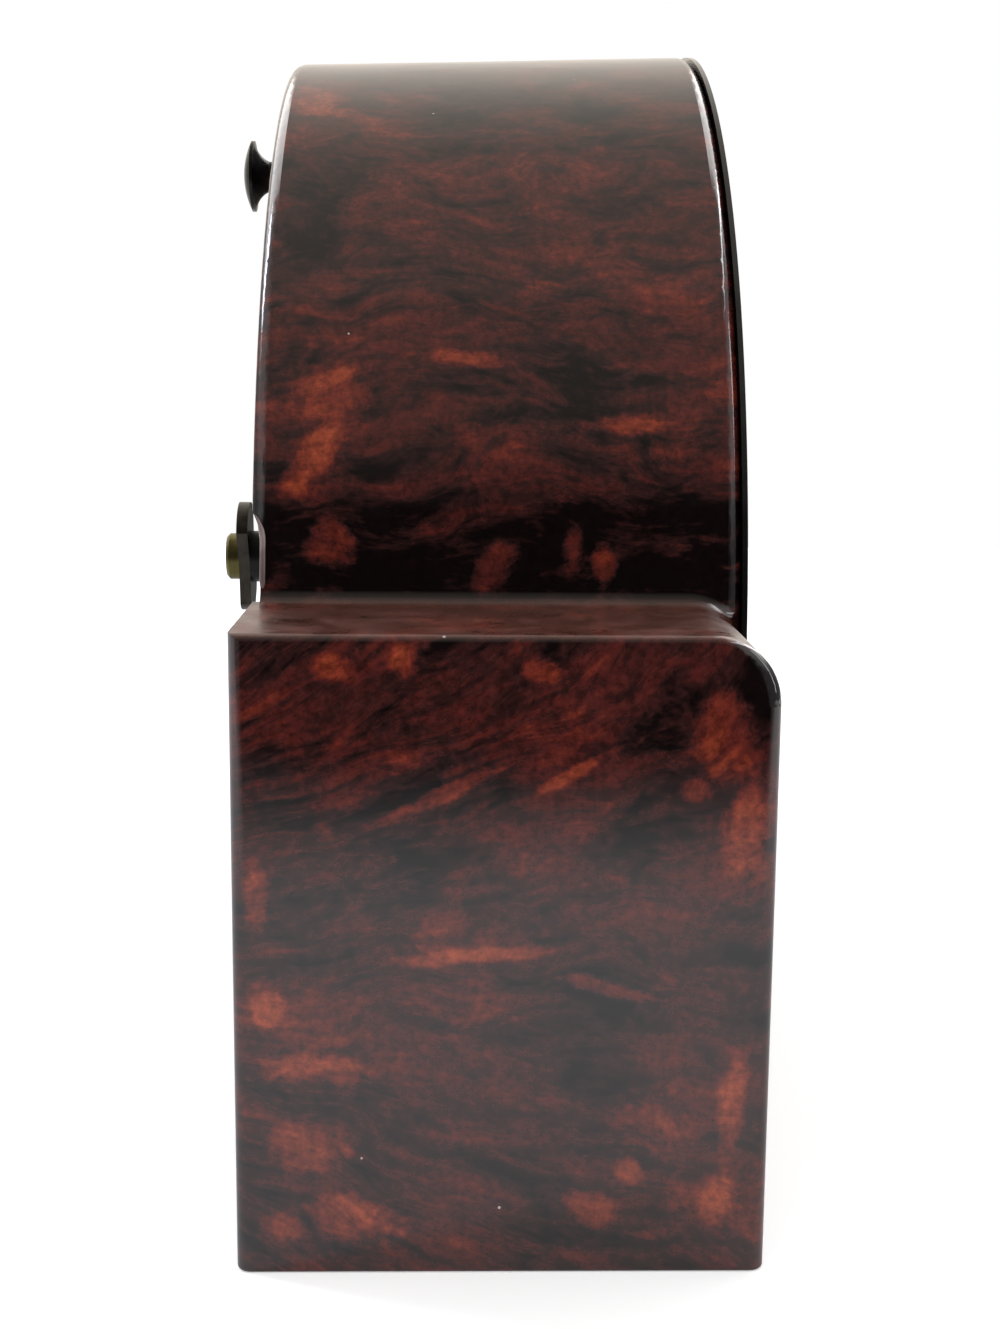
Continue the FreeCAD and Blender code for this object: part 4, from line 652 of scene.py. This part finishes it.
class CLOCK_OT_stage(bpy.types.Operator):
    """Set the white sheet, the soft light and the camera at the photograph's angle"""
    bl_idname = "clock.stage"
    bl_label = "Stage"

    def execute(self, context):
        make_sheet(context.scene)
        make_world(context.scene)
        window(context.scene, "window_front", (-0.22, -0.9, 0.42), (0.12, 0.75), 1.3, "#ffffff")
        window(context.scene, "window_rear", (0.15, 0.62, 0.6), (0.12, 0.3), 2.0, "#dfe8ff")
        make_camera(context.scene)
        context.scene.view_settings.view_transform = "Standard"
        return {"FINISHED"}


def make_sheet(scene):
    """A white paper sheet under the clock, which runs far behind it."""
    half_size, behind = 0.6, 0.15
    fade_start, fade_end = -0.41, -0.25
    bm = bmesh.new()
    bmesh.ops.create_grid(bm, x_segments=8, y_segments=8, size=half_size)
    bmesh.ops.translate(bm, verts=bm.verts, vec=(behind, 0, 0))
    mesh = bpy.data.meshes.new("sheet")
    bm.to_mesh(mesh)
    bm.free()
    add, surface, place = start_material("paper_white_matt", Roughness=0.9)
    tone = add("Mix", {0: grain(add, place, 4), 6: opaque(hex_to_linear("#fdfdfd")),
                       7: opaque(hex_to_linear("#ffffff"))}, **BLEND)
    # the camera sees the sheet a little brighter, so that it meets the white backdrop unseen
    lift = add("Math", (add("LightPath", out="Is Camera Ray"), 0.3), **TIMES)
    feed(surface, {"Base Color": tone, "Emission Color": (1, 1, 1, 1), "Emission Strength": lift})
    # towards the camera's side the sheet fades away, as the real one ended there
    across = add("SeparateXYZ", (place,), "X")
    there = add("MapRange", (across, fade_start, fade_end), **SMOOTH)
    faded = add("MixShader", (there, add("BsdfTransparent"), surface.outputs[0]))
    feed(surface.id_data.nodes["Material Output"], {"Surface": faded})
    mesh.materials.append(material_named("paper_white_matt"))
    sheet = bpy.data.objects.new("sheet", mesh)
    scene.collection.objects.link(sheet)


def make_world(scene):
    """White all round for the camera and for plain light; gloss sees a room with windows."""
    world = bpy.data.worlds.new("studio")
    world.use_nodes = True
    add = functools.partial(add_node, world.node_tree)
    toward = add("TexCoord", out="Generated")
    axes = add("SeparateXYZ", (toward,)).node.outputs
    sideways = add("Math", (axes["Y"],), operation="ABSOLUTE")
    # above, below and behind the camera gloss sees a dim room that is lighter overhead
    away = add("Math", (axes["X"], -1.0), **TIMES)
    height = add("Math", (axes["Z"], away), operation="ARCTAN2")
    room = add("ValToRGB", (add("Math", (height, 0.5 / math.pi, 0.5), **TIMES_PLUS),))
    fill_ramp(room, [(0.5 + angle / 360, [level * share for share in ROOM_WARMTH])
                     for angle, level in ROOM_LEVELS])
    # to the front and the rear the room is dim near the floor and light above
    rising = add("MapRange", (axes["Z"], 0.15, 0.45), **SMOOTH)
    flank = add("Math", (rising, 0.7, 0.3), **TIMES_PLUS)
    across = add("MapRange", (sideways, 0.62, 0.35), **SMOOTH)
    seen = add("Mix", {0: across, 6: flank, 7: room}, **BLEND)
    gloss = add("LightPath", out="Is Glossy Ray")
    tone = add("Mix", {0: gloss, 6: (1, 1, 1, 1), 7: seen}, **BLEND)
    # high windows in front and behind light the gloss of both rims
    aside = add("MapRange", (sideways, 0.17, 0.26), **SMOOTH)
    beyond = add("MapRange", (axes["X"], 0.1, 0.3), **SMOOTH)
    high = add("MapRange", (axes["Z"], 0.35, 0.5), **SMOOTH)
    panes = add("Math", (add("Math", (aside, beyond), **TIMES), high), **TIMES)
    # one long tube, which lies in a plane through the clock, gives the rim its glint
    tube_plane, pane_level, tube_level = (0.3416, 0.7886, 0.5114), 3.2, 10.0
    off_plane = add("VectorMath", (toward, tube_plane), "Value", operation="DOT_PRODUCT")
    off_plane = add("Math", (off_plane,), operation="ABSOLUTE")
    tube = add("MapRange", (off_plane, 0.05, 0.035), **SMOOTH)
    ahead = add("MapRange", (axes["Y"], -0.4, -0.5), **SMOOTH)
    tube = add("Math", (add("Math", (tube, ahead), **TIMES), tube_level), **TIMES)
    glare = add("Math", (panes, pane_level, tube), **TIMES_PLUS)
    glare = add("Math", (glare, gloss), **TIMES)
    tone = add("Mix", {0: 1.0, 6: tone, 7: glare}, blend_type="ADD", **BLEND)
    feed(world.node_tree.nodes["Background"], {"Color": tone})
    scene.world = world


def window(scene, name, place, size, power, text):
    """A soft area lamp that faces the clock's middle."""
    lamp = bpy.data.lights.new(name, "AREA")
    lamp.shape, lamp.size, lamp.size_y = "RECTANGLE", *size
    lamp.energy = power
    lamp.color = hex_to_linear(text)
    stand = bpy.data.objects.new(name, lamp)
    scene.collection.objects.link(stand)
    look = Vector((0, 0, 80 * MM)) - Vector(place)
    turn = look.to_track_quat("-Z", "Y").to_matrix().to_4x4()
    stand.matrix_world = Matrix.Translation(place) @ turn


def make_camera(scene):
    """The camera of the photograph, found by fitting the case's edges."""
    spot = Vector((-CAMERA_LEFT * BASE_DEPTH - HALF_WIDTH, REAR - CAMERA_AHEAD * BASE_DEPTH,
                   LEDGE + CAMERA_ABOVE * BASE_DEPTH))
    forward = Vector((math.cos(CAMERA_PITCH) * math.cos(CAMERA_YAW),
                      -math.cos(CAMERA_PITCH) * math.sin(CAMERA_YAW), -math.sin(CAMERA_PITCH)))
    level = forward.cross(Vector((0, 0, 1))).normalized()
    upright = level.cross(forward)
    right = level * math.cos(CAMERA_ROLL) + upright * math.sin(CAMERA_ROLL)
    up = upright * math.cos(CAMERA_ROLL) - level * math.sin(CAMERA_ROLL)
    camera = bpy.data.cameras.new("camera")
    camera.lens = FOCAL_PIXELS / PHOTO_HEIGHT * SENSOR
    camera.sensor_width = SENSOR
    camera.clip_start = 10 * MM
    holder = bpy.data.objects.new("camera", camera)
    scene.collection.objects.link(holder)
    turn = Matrix((right, up, -forward)).transposed().to_4x4()
    holder.matrix_world = Matrix.Translation(spot) @ turn
    scene.camera = holder


# ---------------------------------------------------------------- panel and running order

class CLOCK_PT_maker(bpy.types.Panel):
    """Lists the makers of the clock's pieces with their sizes and colours"""
    bl_idname = "CLOCK_PT_maker"
    bl_label = "Beehive shelf clock"
    bl_space_type = "VIEW_3D"
    bl_region_type = "UI"
    bl_category = "Clock"

    def draw(self, context):
        for group in (context.scene.clock_sizes, context.scene.clock_colours):
            for name in group.__annotations__:
                self.layout.prop(group, name)
        for maker in MAKERS:
            self.layout.operator(maker.bl_idname)


MAKERS = (CLOCK_OT_stage, CLOCK_OT_finishes, CLOCK_OT_foot_fillets, CLOCK_OT_dial_printing,
          CLOCK_OT_cover_marks, CLOCK_OT_notch_lips)
CLASSES = (ClockSizes, ClockColours, *MAKERS, CLOCK_PT_maker)


def register():
    for item in CLASSES:
        bpy.utils.register_class(item)
    bpy.types.Scene.clock_sizes = bpy.props.PointerProperty(type=ClockSizes)
    bpy.types.Scene.clock_colours = bpy.props.PointerProperty(type=ClockColours)


def unregister():
    del bpy.types.Scene.clock_colours
    del bpy.types.Scene.clock_sizes
    for item in reversed(CLASSES):
        bpy.utils.unregister_class(item)


def main():
    register()
    bpy.ops.clock.stage()
    bpy.ops.clock.finishes()
    bpy.ops.clock.foot_fillets()
    bpy.ops.clock.dial_printing()
    bpy.ops.clock.cover_marks()
    bpy.ops.clock.notch_lips()


if __name__ == "__main__":
    main()
